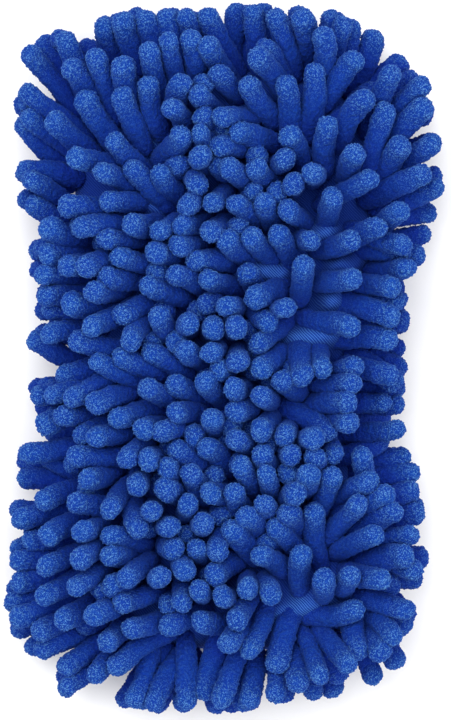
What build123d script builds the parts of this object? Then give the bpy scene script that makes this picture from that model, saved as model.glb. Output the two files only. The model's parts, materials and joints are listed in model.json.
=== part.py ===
from build123d import *
import math
import os
import numpy as np

os.makedirs("parts", exist_ok=True)

# ---------------------------------------------------------------------------
# Chenille wash mitt, lying on its back panel with the pile side up.
# Origin: centre of the underside of the back panel. +Z up out of the pile,
# +Y towards the closed fingertip end, -Y towards the hand mouth. Millimetres.
# ---------------------------------------------------------------------------

# cover outline: a waisted, round-cornered pad, clockwise seen from above
OUTLINE = [
    (-28, -116), (-45, -111), (-58, -98), (-62, -80), (-60, -60), (-54.5, -40),
    (-51.5, -22), (-52, 0), (-56, 28), (-60.5, 58), (-60, 83), (-52.5, 102),
    (-37, 113), (-14, 117), (14, 117), (37, 113), (52, 102), (59.5, 84),
    (60.5, 60), (56.5, 30), (51, 4), (48, -18), (48.5, -38), (53, -60),
    (57.5, -80), (56, -98), (45.5, -110.5), (28, -116), (0, -117),
]

# back panel and pocket
BACK_T = 2.0            # knit back panel thickness
BACK_INSET = 2.1        # panel edge inside the outline, under the binding
LINING_T = 0.7          # back lining thickness
PALM_T = 1.0            # palm lining thickness
PALM_Z = 17.0           # underside of the palm lining
GUSSET_Z0, GUSSET_Z1 = 3.4, 18.0
GUSSET_INSET, GUSSET_T = 2.2, 1.0
MOUTH_W = 96.0          # gap in the gusset where the hand goes in

# padded front
COVER_Z0 = 18.4         # hem of the cover
COVER_Z1 = 36.4         # crown of the cover
COVER_T = 1.4           # rib-knit ground fabric thickness
COVER_R = 17.9          # the cover rolls over its whole edge
FOAM_Z0, FOAM_Z1, FOAM_INSET, FOAM_R = 18.6, 34.4, 2.0, 15.5

# mouth hem: a folded rib-knit band with an elastic inside
HEM_W, HEM_H, HEM_CORNER = 92.0, 13.2, 6.2
HEM_Y0, HEM_Y1 = -114.6, -98.6
HEM_Z = 9.9
SKIN = 0.7              # one layer of the folded band
FOLD_GAP = 1.2          # room between the two layers
ELASTIC_T, ELASTIC_W = 0.8, 8.0

# binding and threads
BIND_Z0, BIND_Z1, BIND_LIP_Z = 0.2, 3.2, 2.9
THREAD_R = 0.4
STITCH_PITCH, STITCH_LEN = 6.4, 3.6

# hanging loop
LOOP_X, LOOP_Y = -64.9, -92.5
LOOP_Z0, LOOP_Z1 = 4.8, 9.8
LOOP_EYE_R, WEBBING_T = 1.5, 0.9
LOOP_LENGTH, LOOP_HALF = 42.0, 3.2

# care label
LABEL_X, LABEL_Y, LABEL_Z = 57.4, -87.0, 4.6
LABEL_OUT, LABEL_W, LABEL_T = 12.0, 20.0, 0.5

# chenille fingers: round-ended cylinders, FINGER_R thick, sewn into the cover.
# Each row is the centre of the root ball and the centre of the tip ball.
FINGER_R = 3.1

FINGERS = {
    "edge_fingers_left": [
        (-56.6, -93.6, 31.9, -82.4, -102.7, 37.6), (-56.3, -86.0, 33.9, -71.4, -93.2, 50.9),
        (-60.1, -82.4, 30.3, -82.4, -88.7, 37.4), (-56.6, -76.6, 34.1, -70.7, -81.1, 53.2),
        (-61.0, -76.1, 29.1, -82.1, -80.0, 37.3), (-54.8, -63.9, 34.5, -69.8, -69.3, 51.9),
        (-57.9, -57.7, 30.0, -81.1, -63.2, 40.6), (-55.0, -51.9, 31.5, -71.8, -55.3, 47.7),
        (-50.0, -34.7, 32.0, -79.2, -36.9, 42.1), (-47.2, -21.8, 33.1, -64.1, -22.1, 50.5),
        (-51.0, -20.0, 28.2, -71.6, -25.6, 43.7), (-50.2, -6.6, 29.6, -74.2, -14.2, 39.9),
        (-53.2, -3.5, 23.3, -79.6, 7.8, 33.8), (-51.0, 13.9, 31.4, -70.0, 10.6, 45.8),
        (-49.7, 28.0, 34.7, -70.4, 26.0, 47.7), (-51.7, 34.2, 34.0, -72.0, 34.0, 50.4),
        (-53.7, 40.3, 33.2, -70.3, 41.6, 51.7), (-57.5, 44.8, 29.6, -78.0, 61.5, 41.9),
        (-53.5, 46.7, 34.2, -69.5, 51.9, 54.0), (-59.6, 59.2, 29.2, -76.8, 71.0, 46.9),
        (-54.0, 60.0, 35.0, -57.9, 54.1, 50.5), (-60.0, 72.1, 29.1, -84.0, 75.2, 39.2),
        (-59.1, 82.4, 29.1, -77.9, 96.4, 37.7), (-55.5, 86.9, 32.4, -79.0, 106.3, 38.3),
        (-58.1, 95.4, 23.3, -77.9, 121.7, 33.7),
    ],
    "edge_fingers_mouth_end": [
        (-55.3, -99.7, 29.8, -73.3, -107.6, 43.7), (-50.7, -104.5, 30.4, -72.6, -115.2, 37.5),
        (-46.3, -109.2, 29.0, -63.3, -121.6, 40.9), (-40.5, -112.0, 29.2, -51.5, -124.3, 44.8),
        (-28.1, -112.3, 32.5, -36.1, -134.0, 42.8), (-16.8, -116.2, 28.6, -28.6, -137.4, 43.7),
        (-16.3, -111.7, 33.9, -15.7, -135.3, 44.4), (10.3, -113.7, 32.1, 9.1, -134.6, 46.3),
        (23.0, -115.8, 28.7, 19.3, -132.0, 48.7), (28.1, -113.1, 31.6, 28.1, -127.2, 51.8),
        (36.5, -107.1, 35.2, 47.6, -119.3, 56.3), (50.9, -104.6, 29.0, 61.2, -114.5, 49.1),
        (53.4, -98.9, 30.5, 65.3, -109.5, 50.8),
    ],
    "edge_fingers_right": [
        (51.7, -93.9, 34.1, 71.7, -99.1, 48.9), (52.3, -81.1, 34.0, 69.9, -77.1, 52.8),
        (56.5, -80.2, 29.2, 73.5, -83.3, 47.3), (54.8, -74.0, 30.1, 53.4, -38.2, 50.3),
        (47.4, -30.3, 28.2, 67.0, -27.7, 42.7), (42.7, -19.0, 33.9, 47.8, -24.9, 59.8),
        (44.9, -3.3, 33.5, 64.3, -5.9, 47.5), (56.3, 34.8, 29.2, 71.0, 36.5, 48.6),
        (59.0, 35.6, 23.3, 80.7, 41.9, 40.4), (56.7, 47.7, 31.4, 67.8, 58.7, 52.1),
        (59.5, 61.1, 29.3, 85.5, 68.8, 38.0), (55.9, 64.3, 33.6, 77.0, 73.2, 50.0),
        (59.8, 67.9, 29.2, 68.6, 84.2, 49.3), (53.8, 73.1, 35.2, 62.8, 98.0, 49.8),
        (61.4, 74.1, 25.8, 82.8, 85.7, 42.0), (58.1, 76.1, 31.1, 77.6, 99.8, 45.1),
        (56.3, 91.6, 29.3, 64.8, 112.9, 48.6), (58.6, 92.8, 23.3, 83.4, 108.9, 42.1),
    ],
    "edge_fingers_tip_end": [
        (-54.5, 97.7, 28.7, -63.8, 126.5, 41.5), (-50.0, 97.8, 33.3, -60.7, 115.0, 48.6),
        (-40.5, 113.1, 23.3, -48.5, 132.7, 35.9), (-36.0, 108.0, 33.7, -39.3, 109.6, 42.5),
        (-34.0, 113.0, 29.2, -41.2, 133.7, 44.1), (-27.8, 113.6, 30.5, -31.5, 135.5, 41.7),
        (-16.2, 112.5, 33.1, -24.4, 135.6, 41.6), (-10.5, 114.7, 31.1, -16.0, 136.0, 43.9),
        (2.9, 111.5, 34.4, -7.5, 123.4, 55.1), (4.6, 116.4, 28.9, -7.4, 135.9, 41.6),
        (13.3, 116.2, 28.8, 11.1, 139.8, 38.8), (15.9, 118.4, 23.3, 14.0, 142.2, 33.1),
        (25.6, 110.1, 34.3, 15.6, 123.2, 48.2), (27.3, 114.3, 29.7, 20.0, 135.5, 42.9),
        (31.1, 116.4, 23.3, 30.5, 134.8, 47.5), (37.3, 114.5, 23.3, 42.6, 141.4, 34.2),
        (38.5, 106.6, 33.9, 38.6, 127.4, 49.9), (41.0, 110.0, 29.1, 46.2, 136.4, 42.3),
        (43.2, 111.6, 23.3, 48.7, 138.8, 33.2), (48.5, 107.8, 23.3, 58.8, 128.8, 27.3),
        (55.3, 97.8, 26.3, 73.2, 112.6, 26.4),
    ],
    "field_fingers_row_01": [
        (-51.4, -95.4, 35.2, -63.9, -102.2, 54.2), (-47.2, -100.4, 35.4, -55.8, -105.2, 38.7),
        (-40.0, -104.0, 36.1, -46.7, -111.0, 54.8), (-39.2, -96.0, 38.4, -51.7, -100.0, 60.5),
        (-21.7, -108.8, 35.7, -43.3, -121.1, 49.7), (-19.5, -103.2, 38.0, -37.4, -105.7, 56.5),
        (-18.0, -96.0, 38.5, -21.9, -97.0, 50.9), (-9.1, -100.6, 38.4, -22.5, -104.4, 53.4),
        (-3.3, -108.7, 36.0, -9.8, -130.8, 40.1), (-0.0, -93.3, 38.5, -1.6, -92.8, 63.8),
        (2.4, -104.9, 37.6, -9.7, -102.9, 57.3), (7.7, -109.0, 35.8, -1.9, -134.0, 49.3),
        (9.7, -103.3, 38.0, 0.8, -111.2, 60.8), (10.3, -95.2, 38.5, 4.4, -101.8, 60.8),
        (17.1, -94.6, 38.5, 9.1, -114.0, 57.0), (27.0, -98.2, 38.5, 20.0, -119.8, 49.0),
        (30.2, -108.4, 35.3, 36.5, -124.2, 54.1), (32.0, -102.7, 37.7, 50.3, -99.2, 50.3),
    ],
    "field_fingers_row_02": [
        (-47.2, -81.2, 38.2, -58.6, -88.9, 60.2), (-46.0, -92.0, 38.0, -48.7, -91.2, 50.7),
        (-37.2, -78.3, 38.5, -45.2, -76.9, 59.6), (-36.0, -86.0, 38.5, -44.2, -89.1, 57.6),
        (-30.8, -80.1, 38.5, -39.1, -85.5, 61.7), (-26.7, -85.0, 38.5, -26.0, -85.2, 62.8),
        (-24.4, -92.0, 38.5, -40.8, -95.2, 58.0), (-17.8, -85.8, 38.5, -17.6, -95.1, 59.7),
        (-16.8, -79.4, 38.5, -16.8, -82.4, 61.8), (-10.7, -91.7, 38.5, -10.8, -90.4, 62.5),
        (-10.0, -78.0, 38.5, -11.5, -74.4, 59.1), (-2.0, -84.0, 38.5, -5.8, -86.0, 47.0),
        (4.8, -80.0, 38.5, -4.3, -84.6, 59.7), (9.5, -86.5, 38.5, 8.4, -89.6, 63.3),
        (11.6, -80.0, 38.5, 2.7, -66.6, 58.5), (15.7, -88.3, 38.5, 17.2, -91.9, 62.0),
        (23.2, -84.0, 38.5, 13.6, -76.5, 60.9), (29.0, -92.1, 38.5, 29.3, -77.3, 56.2),
        (30.1, -76.6, 38.5, 20.2, -65.5, 57.3), (38.2, -81.7, 38.5, 34.6, -60.4, 53.7),
        (39.6, -92.8, 38.5, 38.1, -86.4, 61.3), (43.5, -76.9, 38.0, 57.8, -69.0, 58.0),
        (46.3, -91.9, 37.3, 48.7, -84.9, 60.0), (47.2, -83.6, 37.1, 60.7, -86.2, 58.8),
        (49.4, -75.3, 35.4, 72.2, -69.3, 45.5),
    ],
    "field_fingers_row_03": [
        (-50.0, -56.0, 36.2, -54.3, -51.2, 47.5), (-48.0, -72.0, 38.0, -57.1, -78.4, 61.9),
        (-46.3, -64.8, 38.2, -56.2, -67.3, 59.8), (-41.6, -59.9, 38.5, -58.7, -56.2, 56.2),
        (-34.0, -64.0, 38.5, -31.6, -67.0, 47.2), (-31.9, -73.7, 38.5, -45.3, -69.3, 58.2),
        (-27.5, -58.9, 38.5, -29.2, -59.2, 64.0), (-24.3, -64.5, 38.5, -22.4, -65.6, 61.5),
        (-24.0, -72.0, 38.5, -20.8, -74.1, 59.2), (-16.8, -64.0, 38.5, -15.0, -56.8, 63.0),
        (-14.0, -72.0, 38.5, -16.1, -69.5, 51.1), (-10.2, -64.1, 38.5, -9.2, -64.0, 62.8),
        (-2.0, -60.0, 38.5, -3.0, -61.9, 51.3), (0.0, -66.4, 38.5, -3.6, -75.0, 60.8),
        (8.8, -62.4, 38.5, 3.2, -52.4, 61.8), (13.4, -71.3, 38.5, 7.4, -61.9, 60.8),
        (17.0, -65.9, 38.5, 14.8, -56.5, 62.2), (20.0, -74.0, 38.5, 15.9, -71.5, 50.6),
        (30.1, -69.3, 38.5, 24.5, -59.0, 59.0), (34.7, -64.8, 38.5, 41.4, -46.3, 56.0),
        (39.7, -71.7, 38.4, 51.2, -57.2, 58.1), (40.1, -58.7, 37.6, 56.3, -48.0, 55.1),
        (42.5, -64.6, 37.4, 62.1, -53.7, 53.8), (46.2, -69.8, 36.4, 64.8, -59.3, 51.6),
    ],
    "field_fingers_row_04": [
        (-46.8, -39.3, 35.4, -60.9, -40.9, 39.9), (-42.9, -43.8, 37.7, -54.5, -46.7, 58.6),
        (-36.9, -37.7, 38.5, -58.6, -38.0, 55.0), (-36.1, -55.6, 38.5, -34.9, -65.6, 60.7),
        (-36.0, -48.7, 38.5, -45.1, -58.1, 60.0), (-33.0, -42.8, 38.5, -35.1, -49.1, 62.5),
        (-30.0, -52.0, 38.5, -27.6, -48.2, 46.9), (-27.6, -39.0, 38.5, -30.6, -39.4, 63.7),
        (-16.8, -44.0, 38.5, -24.4, -42.1, 60.5), (-16.0, -52.8, 38.5, -23.6, -50.7, 61.2),
        (-8.0, -55.2, 38.5, -13.9, -45.1, 60.4), (-4.6, -43.2, 38.5, -19.5, -35.5, 55.5),
        (-4.0, -50.0, 38.5, -4.9, -46.4, 51.0), (2.6, -44.0, 38.5, -7.8, -34.1, 58.5),
        (3.6, -54.8, 38.5, -6.4, -52.2, 62.3), (10.0, -44.0, 38.5, 5.0, -40.0, 49.8),
        (12.6, -51.1, 38.5, 5.7, -41.7, 61.6), (18.6, -53.8, 38.5, 15.7, -45.1, 62.9),
        (21.6, -44.8, 38.5, 14.1, -37.3, 60.2), (25.0, -53.7, 38.5, 27.3, -52.1, 62.9),
        (28.0, -42.0, 38.5, 25.7, -43.7, 55.3), (31.4, -52.7, 38.5, 32.4, -44.0, 63.4),
        (33.6, -46.3, 38.4, 34.0, -37.8, 60.5),
    ],
    "field_fingers_row_05": [
        (-41.7, -22.5, 36.8, -56.2, -29.4, 48.6), (-34.5, -27.8, 38.5, -50.9, -30.4, 58.3),
        (-31.0, -33.2, 38.5, -38.6, -38.7, 63.0), (-24.0, -19.7, 38.5, -42.3, -22.7, 58.9),
        (-23.9, -26.2, 38.5, -32.3, -27.3, 59.9), (-20.0, -36.0, 38.5, -23.1, -35.6, 47.5),
        (-13.6, -27.2, 38.5, -25.4, -27.9, 59.9), (-12.0, -34.0, 38.5, -12.2, -30.4, 55.1),
        (-9.4, -21.7, 38.5, -19.9, -20.6, 60.9), (-5.6, -30.4, 38.5, -5.6, -23.3, 63.3),
        (-2.0, -22.0, 38.5, 3.5, -26.0, 54.1), (0.0, -36.0, 38.5, 1.8, -32.4, 47.1),
        (10.0, -30.0, 38.5, 9.8, -27.8, 47.7), (12.8, -36.8, 38.5, 3.9, -31.3, 61.4),
        (18.0, -32.0, 38.5, 15.9, -33.4, 51.3), (19.3, -23.6, 38.5, 13.7, -27.6, 62.5),
        (23.5, -36.7, 38.5, 25.2, -36.8, 61.9), (25.6, -26.2, 38.5, 23.4, -29.9, 60.9),
        (29.4, -31.4, 38.5, 34.0, -30.8, 63.7), (32.7, -19.0, 38.3, 47.4, -16.0, 60.8),
        (38.0, -32.0, 36.8, 42.2, -37.2, 52.5),
    ],
    "field_fingers_row_06": [
        (-43.7, -9.3, 35.7, -68.1, -14.0, 47.7), (-39.9, -3.1, 37.5, -60.1, -14.7, 55.6),
        (-37.7, -10.5, 38.0, -51.0, -16.7, 58.8), (-29.9, -8.3, 38.5, -50.6, -0.9, 55.0),
        (-22.7, -5.3, 38.5, -41.0, 0.8, 55.3), (-19.2, -15.2, 38.5, -30.5, -11.3, 60.2),
        (-13.7, -6.1, 38.5, -29.8, 3.3, 53.4), (-7.6, -3.6, 38.5, -16.3, 3.9, 60.1),
        (-5.6, -16.4, 38.5, -21.0, -10.4, 54.9), (-4.0, -10.0, 38.5, -6.9, -7.5, 47.2),
        (0.0, -4.0, 38.5, -2.7, -3.4, 59.3), (1.3, -16.4, 38.5, -8.3, -8.6, 61.5),
        (8.0, -4.0, 38.5, 11.3, -3.5, 47.4), (8.8, -11.2, 38.5, 2.9, -11.2, 63.8),
        (9.6, -18.0, 38.5, 3.8, -20.4, 61.2), (17.2, -15.0, 38.5, 13.5, -14.3, 64.1),
        (20.0, -4.0, 38.5, 18.4, -6.5, 47.5), (22.7, -18.2, 38.5, 39.9, -27.2, 52.3),
        (28.0, -2.0, 38.5, 25.2, -4.6, 47.2), (28.8, -13.9, 38.5, 22.0, -8.0, 59.7),
        (32.9, -9.0, 38.4, 48.8, -9.7, 59.1), (39.2, -6.8, 36.8, 49.9, -2.9, 53.7),
    ],
    "field_fingers_row_07": [
        (-33.3, 4.0, 38.5, -58.5, 7.7, 53.3), (-30.9, 16.9, 38.5, -37.3, 7.8, 59.6),
        (-26.0, 6.0, 38.5, -28.7, 8.7, 47.2), (-24.0, 16.0, 38.5, -24.2, 19.3, 47.4),
        (-20.1, 9.2, 38.5, -26.3, 17.1, 60.7), (-16.1, 14.3, 38.5, -14.8, 14.4, 63.1),
        (-16.0, 2.0, 38.5, -19.2, 7.9, 54.1), (-10.0, 18.0, 38.5, -9.8, 17.6, 48.0),
        (-7.5, 11.3, 38.5, -5.2, 12.4, 62.1), (-4.8, 4.0, 38.5, -6.0, 2.8, 64.1),
        (2.2, 12.3, 38.5, 4.0, 12.8, 64.3), (2.5, 18.7, 38.5, 0.2, 21.1, 64.3),
        (7.6, 3.2, 38.5, 4.5, -0.8, 62.9), (12.0, 12.0, 38.5, 9.2, 11.1, 47.5),
        (16.0, 4.0, 38.5, 13.3, 5.5, 47.5), (23.5, 3.5, 38.5, 13.8, -3.3, 58.8),
        (24.6, 15.8, 38.5, 12.8, 6.6, 57.4), (29.3, 6.5, 38.5, 29.9, -6.3, 61.6),
        (30.7, 17.6, 38.5, 48.6, 13.5, 58.9), (35.6, 7.6, 38.4, 36.6, -3.5, 58.9),
        (41.1, 15.9, 37.6, 59.8, 10.4, 31.8), (41.7, 8.7, 36.8, 63.6, 8.2, 48.6),
    ],
    "field_fingers_row_08": [
        (-44.2, 20.6, 37.0, -60.7, 22.2, 55.4), (-40.5, 27.8, 38.3, -51.8, 26.7, 61.4),
        (-37.3, 22.3, 38.5, -52.6, 13.1, 58.3), (-32.7, 32.5, 38.5, -46.9, 32.7, 57.9),
        (-26.8, 36.4, 38.5, -41.7, 40.4, 58.6), (-26.4, 24.8, 38.5, -40.7, 17.8, 56.0),
        (-22.0, 30.0, 38.5, -26.9, 35.0, 54.0), (-14.4, 23.2, 38.5, -30.2, 29.0, 58.0),
        (-8.4, 28.0, 38.5, -19.5, 33.4, 59.9), (-8.0, 36.0, 38.5, -11.1, 38.0, 47.2),
        (-2.0, 24.0, 38.5, -7.4, 21.9, 54.5), (4.8, 28.0, 38.5, -6.9, 31.6, 60.6),
        (10.0, 22.0, 38.5, 16.6, 14.2, 56.9), (14.0, 28.0, 38.5, 8.5, 33.9, 53.5),
        (20.1, 20.5, 38.5, 22.8, 20.4, 63.0), (23.6, 30.0, 38.5, 11.7, 24.5, 59.6),
        (28.8, 36.8, 38.5, 20.4, 48.7, 58.7), (29.6, 24.0, 38.5, 30.2, 36.7, 60.6),
        (36.2, 30.7, 38.5, 49.0, 32.0, 60.5), (42.9, 22.1, 37.5, 64.7, 17.6, 53.2),
        (47.2, 32.5, 36.7, 65.1, 28.9, 55.5), (48.0, 26.2, 35.5, 66.7, 23.3, 44.5),
    ],
    "field_fingers_row_09": [
        (-48.3, 39.5, 36.6, -61.9, 36.9, 57.0), (-46.0, 46.0, 37.8, -48.4, 47.1, 47.0),
        (-42.1, 40.9, 38.4, -54.9, 36.4, 61.7), (-37.6, 54.0, 38.5, -56.5, 52.1, 60.7),
        (-33.4, 48.5, 38.5, -47.3, 48.5, 57.9), (-26.0, 44.0, 38.5, -24.2, 47.2, 47.2),
        (-25.1, 53.9, 38.5, -36.7, 53.1, 61.4), (-18.4, 55.3, 38.5, -26.1, 50.6, 61.1),
        (-16.4, 39.2, 38.5, -27.6, 42.2, 61.8), (-8.4, 46.0, 38.5, -18.3, 44.9, 60.9),
        (-7.2, 55.2, 38.5, -17.2, 52.9, 60.8), (2.4, 54.4, 38.5, -6.0, 49.9, 63.0),
        (4.2, 38.9, 38.5, -11.5, 39.2, 57.9), (6.0, 48.0, 38.5, 5.3, 52.1, 55.0),
        (11.1, 39.5, 38.5, 0.5, 46.6, 61.9), (11.2, 52.8, 38.5, 4.0, 61.4, 60.4),
        (17.6, 52.8, 38.5, 14.9, 62.0, 60.2), (20.0, 40.8, 38.5, 10.2, 47.7, 60.4),
        (28.0, 46.0, 38.5, 32.9, 47.0, 58.9), (32.0, 55.2, 38.5, 24.1, 59.0, 60.3),
        (36.1, 44.3, 38.5, 49.1, 46.9, 60.4), (39.8, 50.2, 38.5, 41.5, 63.5, 60.4),
        (43.5, 44.1, 38.3, 59.4, 52.4, 56.2), (48.8, 51.8, 37.2, 68.8, 45.4, 53.0),
        (50.4, 45.3, 36.1, 69.9, 41.7, 41.8),
    ],
    "field_fingers_row_10": [
        (-39.0, 74.6, 38.5, -58.7, 79.4, 58.6), (-38.7, 60.3, 38.5, -62.0, 60.4, 57.1),
        (-35.5, 68.3, 38.5, -48.3, 73.6, 60.1), (-31.2, 73.3, 38.5, -43.7, 85.7, 55.5),
        (-31.1, 62.3, 38.5, -45.8, 62.2, 57.8), (-24.0, 72.0, 38.5, -19.2, 77.7, 53.8),
        (-23.1, 61.0, 38.5, -36.3, 74.7, 54.9), (-16.3, 61.7, 38.5, -26.1, 72.9, 58.2),
        (-11.2, 66.9, 38.5, -15.1, 60.8, 61.7), (0.0, 74.0, 38.5, -3.2, 76.9, 54.9),
        (0.8, 67.2, 38.5, -5.4, 61.6, 61.4), (6.0, 60.0, 38.5, 10.9, 66.5, 53.5),
        (11.6, 68.0, 38.5, 0.6, 75.3, 60.9), (18.0, 62.0, 38.5, 19.7, 65.1, 55.1),
        (19.6, 68.8, 38.5, 12.0, 75.0, 60.3), (26.5, 67.6, 38.5, 26.4, 68.8, 62.9),
        (33.9, 71.2, 38.5, 33.6, 73.2, 64.0), (37.9, 61.4, 38.5, 55.9, 70.9, 58.2),
        (48.2, 70.1, 37.8, 50.1, 80.8, 61.0),
    ],
    "field_fingers_row_11": [
        (-51.9, 82.2, 35.9, -67.6, 94.1, 50.5), (-38.7, 92.6, 38.5, -40.9, 115.6, 55.0),
        (-38.0, 82.1, 38.5, -55.8, 102.5, 49.0), (-32.1, 84.6, 38.5, -41.0, 103.6, 55.0),
        (-27.0, 78.2, 38.5, -17.3, 87.9, 60.5), (-25.2, 90.0, 38.5, -30.8, 108.1, 56.5),
        (-16.4, 78.8, 38.5, -11.7, 68.5, 59.6), (-16.4, 90.0, 38.5, -21.2, 98.8, 62.1),
        (-12.0, 84.0, 38.5, -13.5, 85.8, 47.7), (-8.5, 77.5, 38.5, -10.4, 79.6, 63.8),
        (-8.0, 90.0, 38.5, -9.3, 95.3, 58.8), (-2.6, 80.5, 38.5, -11.0, 89.7, 61.7),
        (2.0, 88.0, 38.5, -1.4, 89.9, 50.9), (12.0, 76.0, 38.5, 12.2, 79.2, 51.1),
        (12.8, 83.2, 38.5, -2.7, 83.8, 59.5), (19.9, 85.4, 38.5, 5.2, 89.5, 58.8),
        (20.0, 78.0, 38.5, 23.0, 78.9, 59.3), (26.3, 85.7, 38.5, 23.6, 108.3, 53.2),
        (29.2, 76.0, 38.5, 25.0, 88.1, 59.3), (32.2, 89.3, 38.5, 34.9, 113.9, 50.0),
        (39.6, 75.2, 38.5, 39.6, 91.9, 58.6), (40.9, 92.6, 38.2, 58.5, 106.8, 34.0),
        (43.3, 85.8, 38.3, 54.2, 102.7, 54.2),
    ],
    "field_fingers_row_12": [
        (-44.7, 96.4, 36.7, -51.3, 118.8, 50.5), (-26.3, 101.3, 38.2, -30.2, 120.7, 56.5),
        (-19.3, 107.9, 36.2, -22.8, 125.3, 55.5), (-19.2, 96.8, 38.5, -18.3, 108.3, 59.5),
        (-14.0, 102.0, 38.3, -9.1, 108.6, 53.2), (-11.6, 108.8, 36.0, -13.8, 126.1, 52.8),
        (-1.6, 96.0, 38.5, -10.6, 104.1, 60.1), (3.6, 104.0, 38.0, -2.7, 112.6, 56.2),
        (11.3, 97.2, 38.5, -1.8, 95.6, 60.1), (20.6, 94.6, 38.5, 9.0, 107.7, 55.4),
        (23.2, 105.0, 37.3, 12.6, 118.6, 59.9), (36.7, 99.8, 37.6, 49.8, 118.2, 47.7),
    ],
    "lower_edge_fingers_left": [
        (-60.2, -89.1, 28.8, -86.9, -97.2, 30.4), (-63.0, -86.5, 23.3, -84.6, -91.9, 23.4),
        (-63.4, -73.8, 23.3, -84.9, -75.4, 29.7), (-58.3, -70.6, 32.2, -77.6, -72.4, 36.8),
        (-59.3, -64.6, 30.0, -77.5, -67.1, 32.7), (-61.5, -61.2, 24.4, -83.2, -60.1, 28.0),
        (-58.5, -48.7, 23.3, -80.1, -47.1, 22.6), (-50.7, -46.9, 34.2, -71.3, -38.8, 27.2),
        (-56.7, -42.5, 23.3, -80.7, -40.8, 19.8), (-53.9, -35.0, 26.2, -69.3, -37.6, 9.1),
        (-50.0, -28.2, 30.8, -68.1, -29.8, 21.9), (-53.1, -23.5, 23.3, -72.9, -19.1, 20.1),
        (-52.7, -16.3, 23.3, -79.7, -11.4, 17.6), (-52.5, -9.8, 24.4, -71.0, -10.9, 30.1),
        (-46.0, -3.6, 34.3, -63.4, -7.4, 41.0), (-54.6, 9.2, 23.3, -72.9, 9.9, 27.0),
        (-55.3, 15.6, 23.8, -67.8, 16.3, 14.2), (-49.7, 19.8, 33.6, -69.0, 20.1, 38.3),
        (-56.2, 22.0, 24.4, -72.6, 19.9, 26.2), (-53.8, 24.4, 30.0, -71.9, 26.2, 33.4),
        (-56.9, 29.7, 26.1, -66.7, 24.6, 10.0), (-56.1, 35.3, 29.4, -72.4, 44.9, 37.6),
        (-59.3, 40.8, 24.8, -76.8, 36.6, 29.8), (-60.7, 47.0, 23.3, -79.1, 42.8, 30.5),
        (-62.0, 58.6, 23.3, -85.8, 63.9, 29.2), (-62.5, 71.2, 23.3, -83.7, 74.8, 29.9),
        (-62.2, 77.6, 23.3, -87.1, 94.0, 29.8), (-61.2, 84.6, 23.4, -87.8, 103.3, 23.4),
        (-58.8, 89.6, 26.7, -79.5, 102.6, 29.0),
    ],
    "lower_edge_fingers_mouth_end": [
        (-59.3, -98.7, 23.3, -85.5, -108.5, 21.7), (-55.8, -104.0, 23.3, -77.3, -115.1, 25.3),
        (-45.9, -112.2, 23.3, -64.4, -129.2, 21.9), (-39.6, -115.0, 23.3, -63.7, -136.2, 39.9),
        (-26.3, -117.7, 23.3, -40.7, -141.4, 21.7), (-23.8, -115.5, 29.0, -33.5, -139.8, 34.5),
        (-19.8, -118.2, 23.3, -27.1, -141.3, 22.0), (-13.3, -118.5, 23.3, -17.4, -136.2, 33.7),
        (-1.0, -117.0, 27.1, -4.0, -141.3, 28.7), (3.9, -118.5, 23.3, 2.4, -137.9, 25.7),
        (5.1, -116.0, 29.1, 7.1, -136.7, 34.3), (10.2, -118.1, 24.6, 9.2, -138.4, 21.8),
        (19.1, -118.3, 23.3, 23.2, -135.4, 27.4), (32.0, -116.9, 23.3, 34.7, -134.2, 27.5),
        (33.9, -114.1, 28.9, 34.5, -131.0, 34.6), (38.2, -115.4, 23.3, 42.3, -132.3, 22.7),
        (39.2, -111.1, 30.9, 44.4, -125.2, 34.3), (43.9, -112.1, 26.2, 47.5, -120.6, 8.5),
        (48.4, -99.4, 34.6, 51.5, -114.7, 46.6), (49.5, -109.4, 23.3, 59.0, -128.3, 22.7),
        (53.9, -104.7, 23.3, 69.1, -120.6, 28.9), (56.7, -98.9, 24.9, 67.4, -107.2, 14.2),
    ],
    "lower_edge_fingers_right": [
        (56.4, -93.1, 29.1, 70.5, -105.8, 35.9), (59.0, -92.8, 23.3, 77.5, -102.9, 28.6),
        (52.3, -87.5, 34.2, 64.7, -89.7, 39.3), (56.9, -86.7, 29.3, 75.5, -87.6, 32.9),
        (59.0, -80.1, 23.3, 77.4, -79.4, 25.1), (57.7, -72.9, 23.8, 71.5, -66.3, 15.6),
        (53.6, -64.1, 28.2, 76.6, -61.3, 31.4), (54.6, -60.0, 23.3, 76.0, -59.3, 24.6),
        (50.9, -58.5, 30.1, 72.4, -52.1, 31.3), (52.1, -53.2, 25.7, 63.7, -54.4, 11.2),
        (51.5, -47.0, 23.3, 73.9, -45.7, 29.4), (50.4, -40.7, 23.3, 70.0, -39.7, 25.4),
        (44.4, -39.5, 33.1, 61.3, -33.8, 27.0), (49.5, -34.4, 23.8, 57.9, -33.8, 13.8),
        (49.0, -24.5, 24.4, 62.7, -24.4, 8.1), (47.0, -18.1, 29.2, 61.5, -17.4, 32.8),
        (49.5, -17.3, 23.3, 67.6, -17.7, 25.2), (50.1, -10.9, 23.3, 67.5, -11.3, 22.9),
        (50.9, -4.2, 23.8, 59.6, -6.6, 6.6), (49.7, 1.8, 29.0, 66.0, -8.1, 34.6),
        (52.3, 3.0, 23.3, 69.6, -2.6, 26.6), (53.6, 9.3, 23.3, 68.2, 4.9, 21.1),
        (55.0, 15.6, 23.3, 70.4, 15.3, 22.9), (53.1, 18.0, 29.0, 69.0, 16.3, 32.5),
        (56.3, 22.1, 23.7, 66.6, 19.8, 9.2), (56.7, 28.6, 26.2, 67.7, 28.9, 14.2),
        (52.3, 30.8, 33.1, 68.0, 24.2, 35.1), (60.9, 48.0, 23.3, 79.7, 50.8, 21.0),
        (60.1, 55.1, 27.1, 80.7, 59.3, 21.3), (62.3, 68.2, 23.3, 83.0, 74.1, 25.0),
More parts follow.
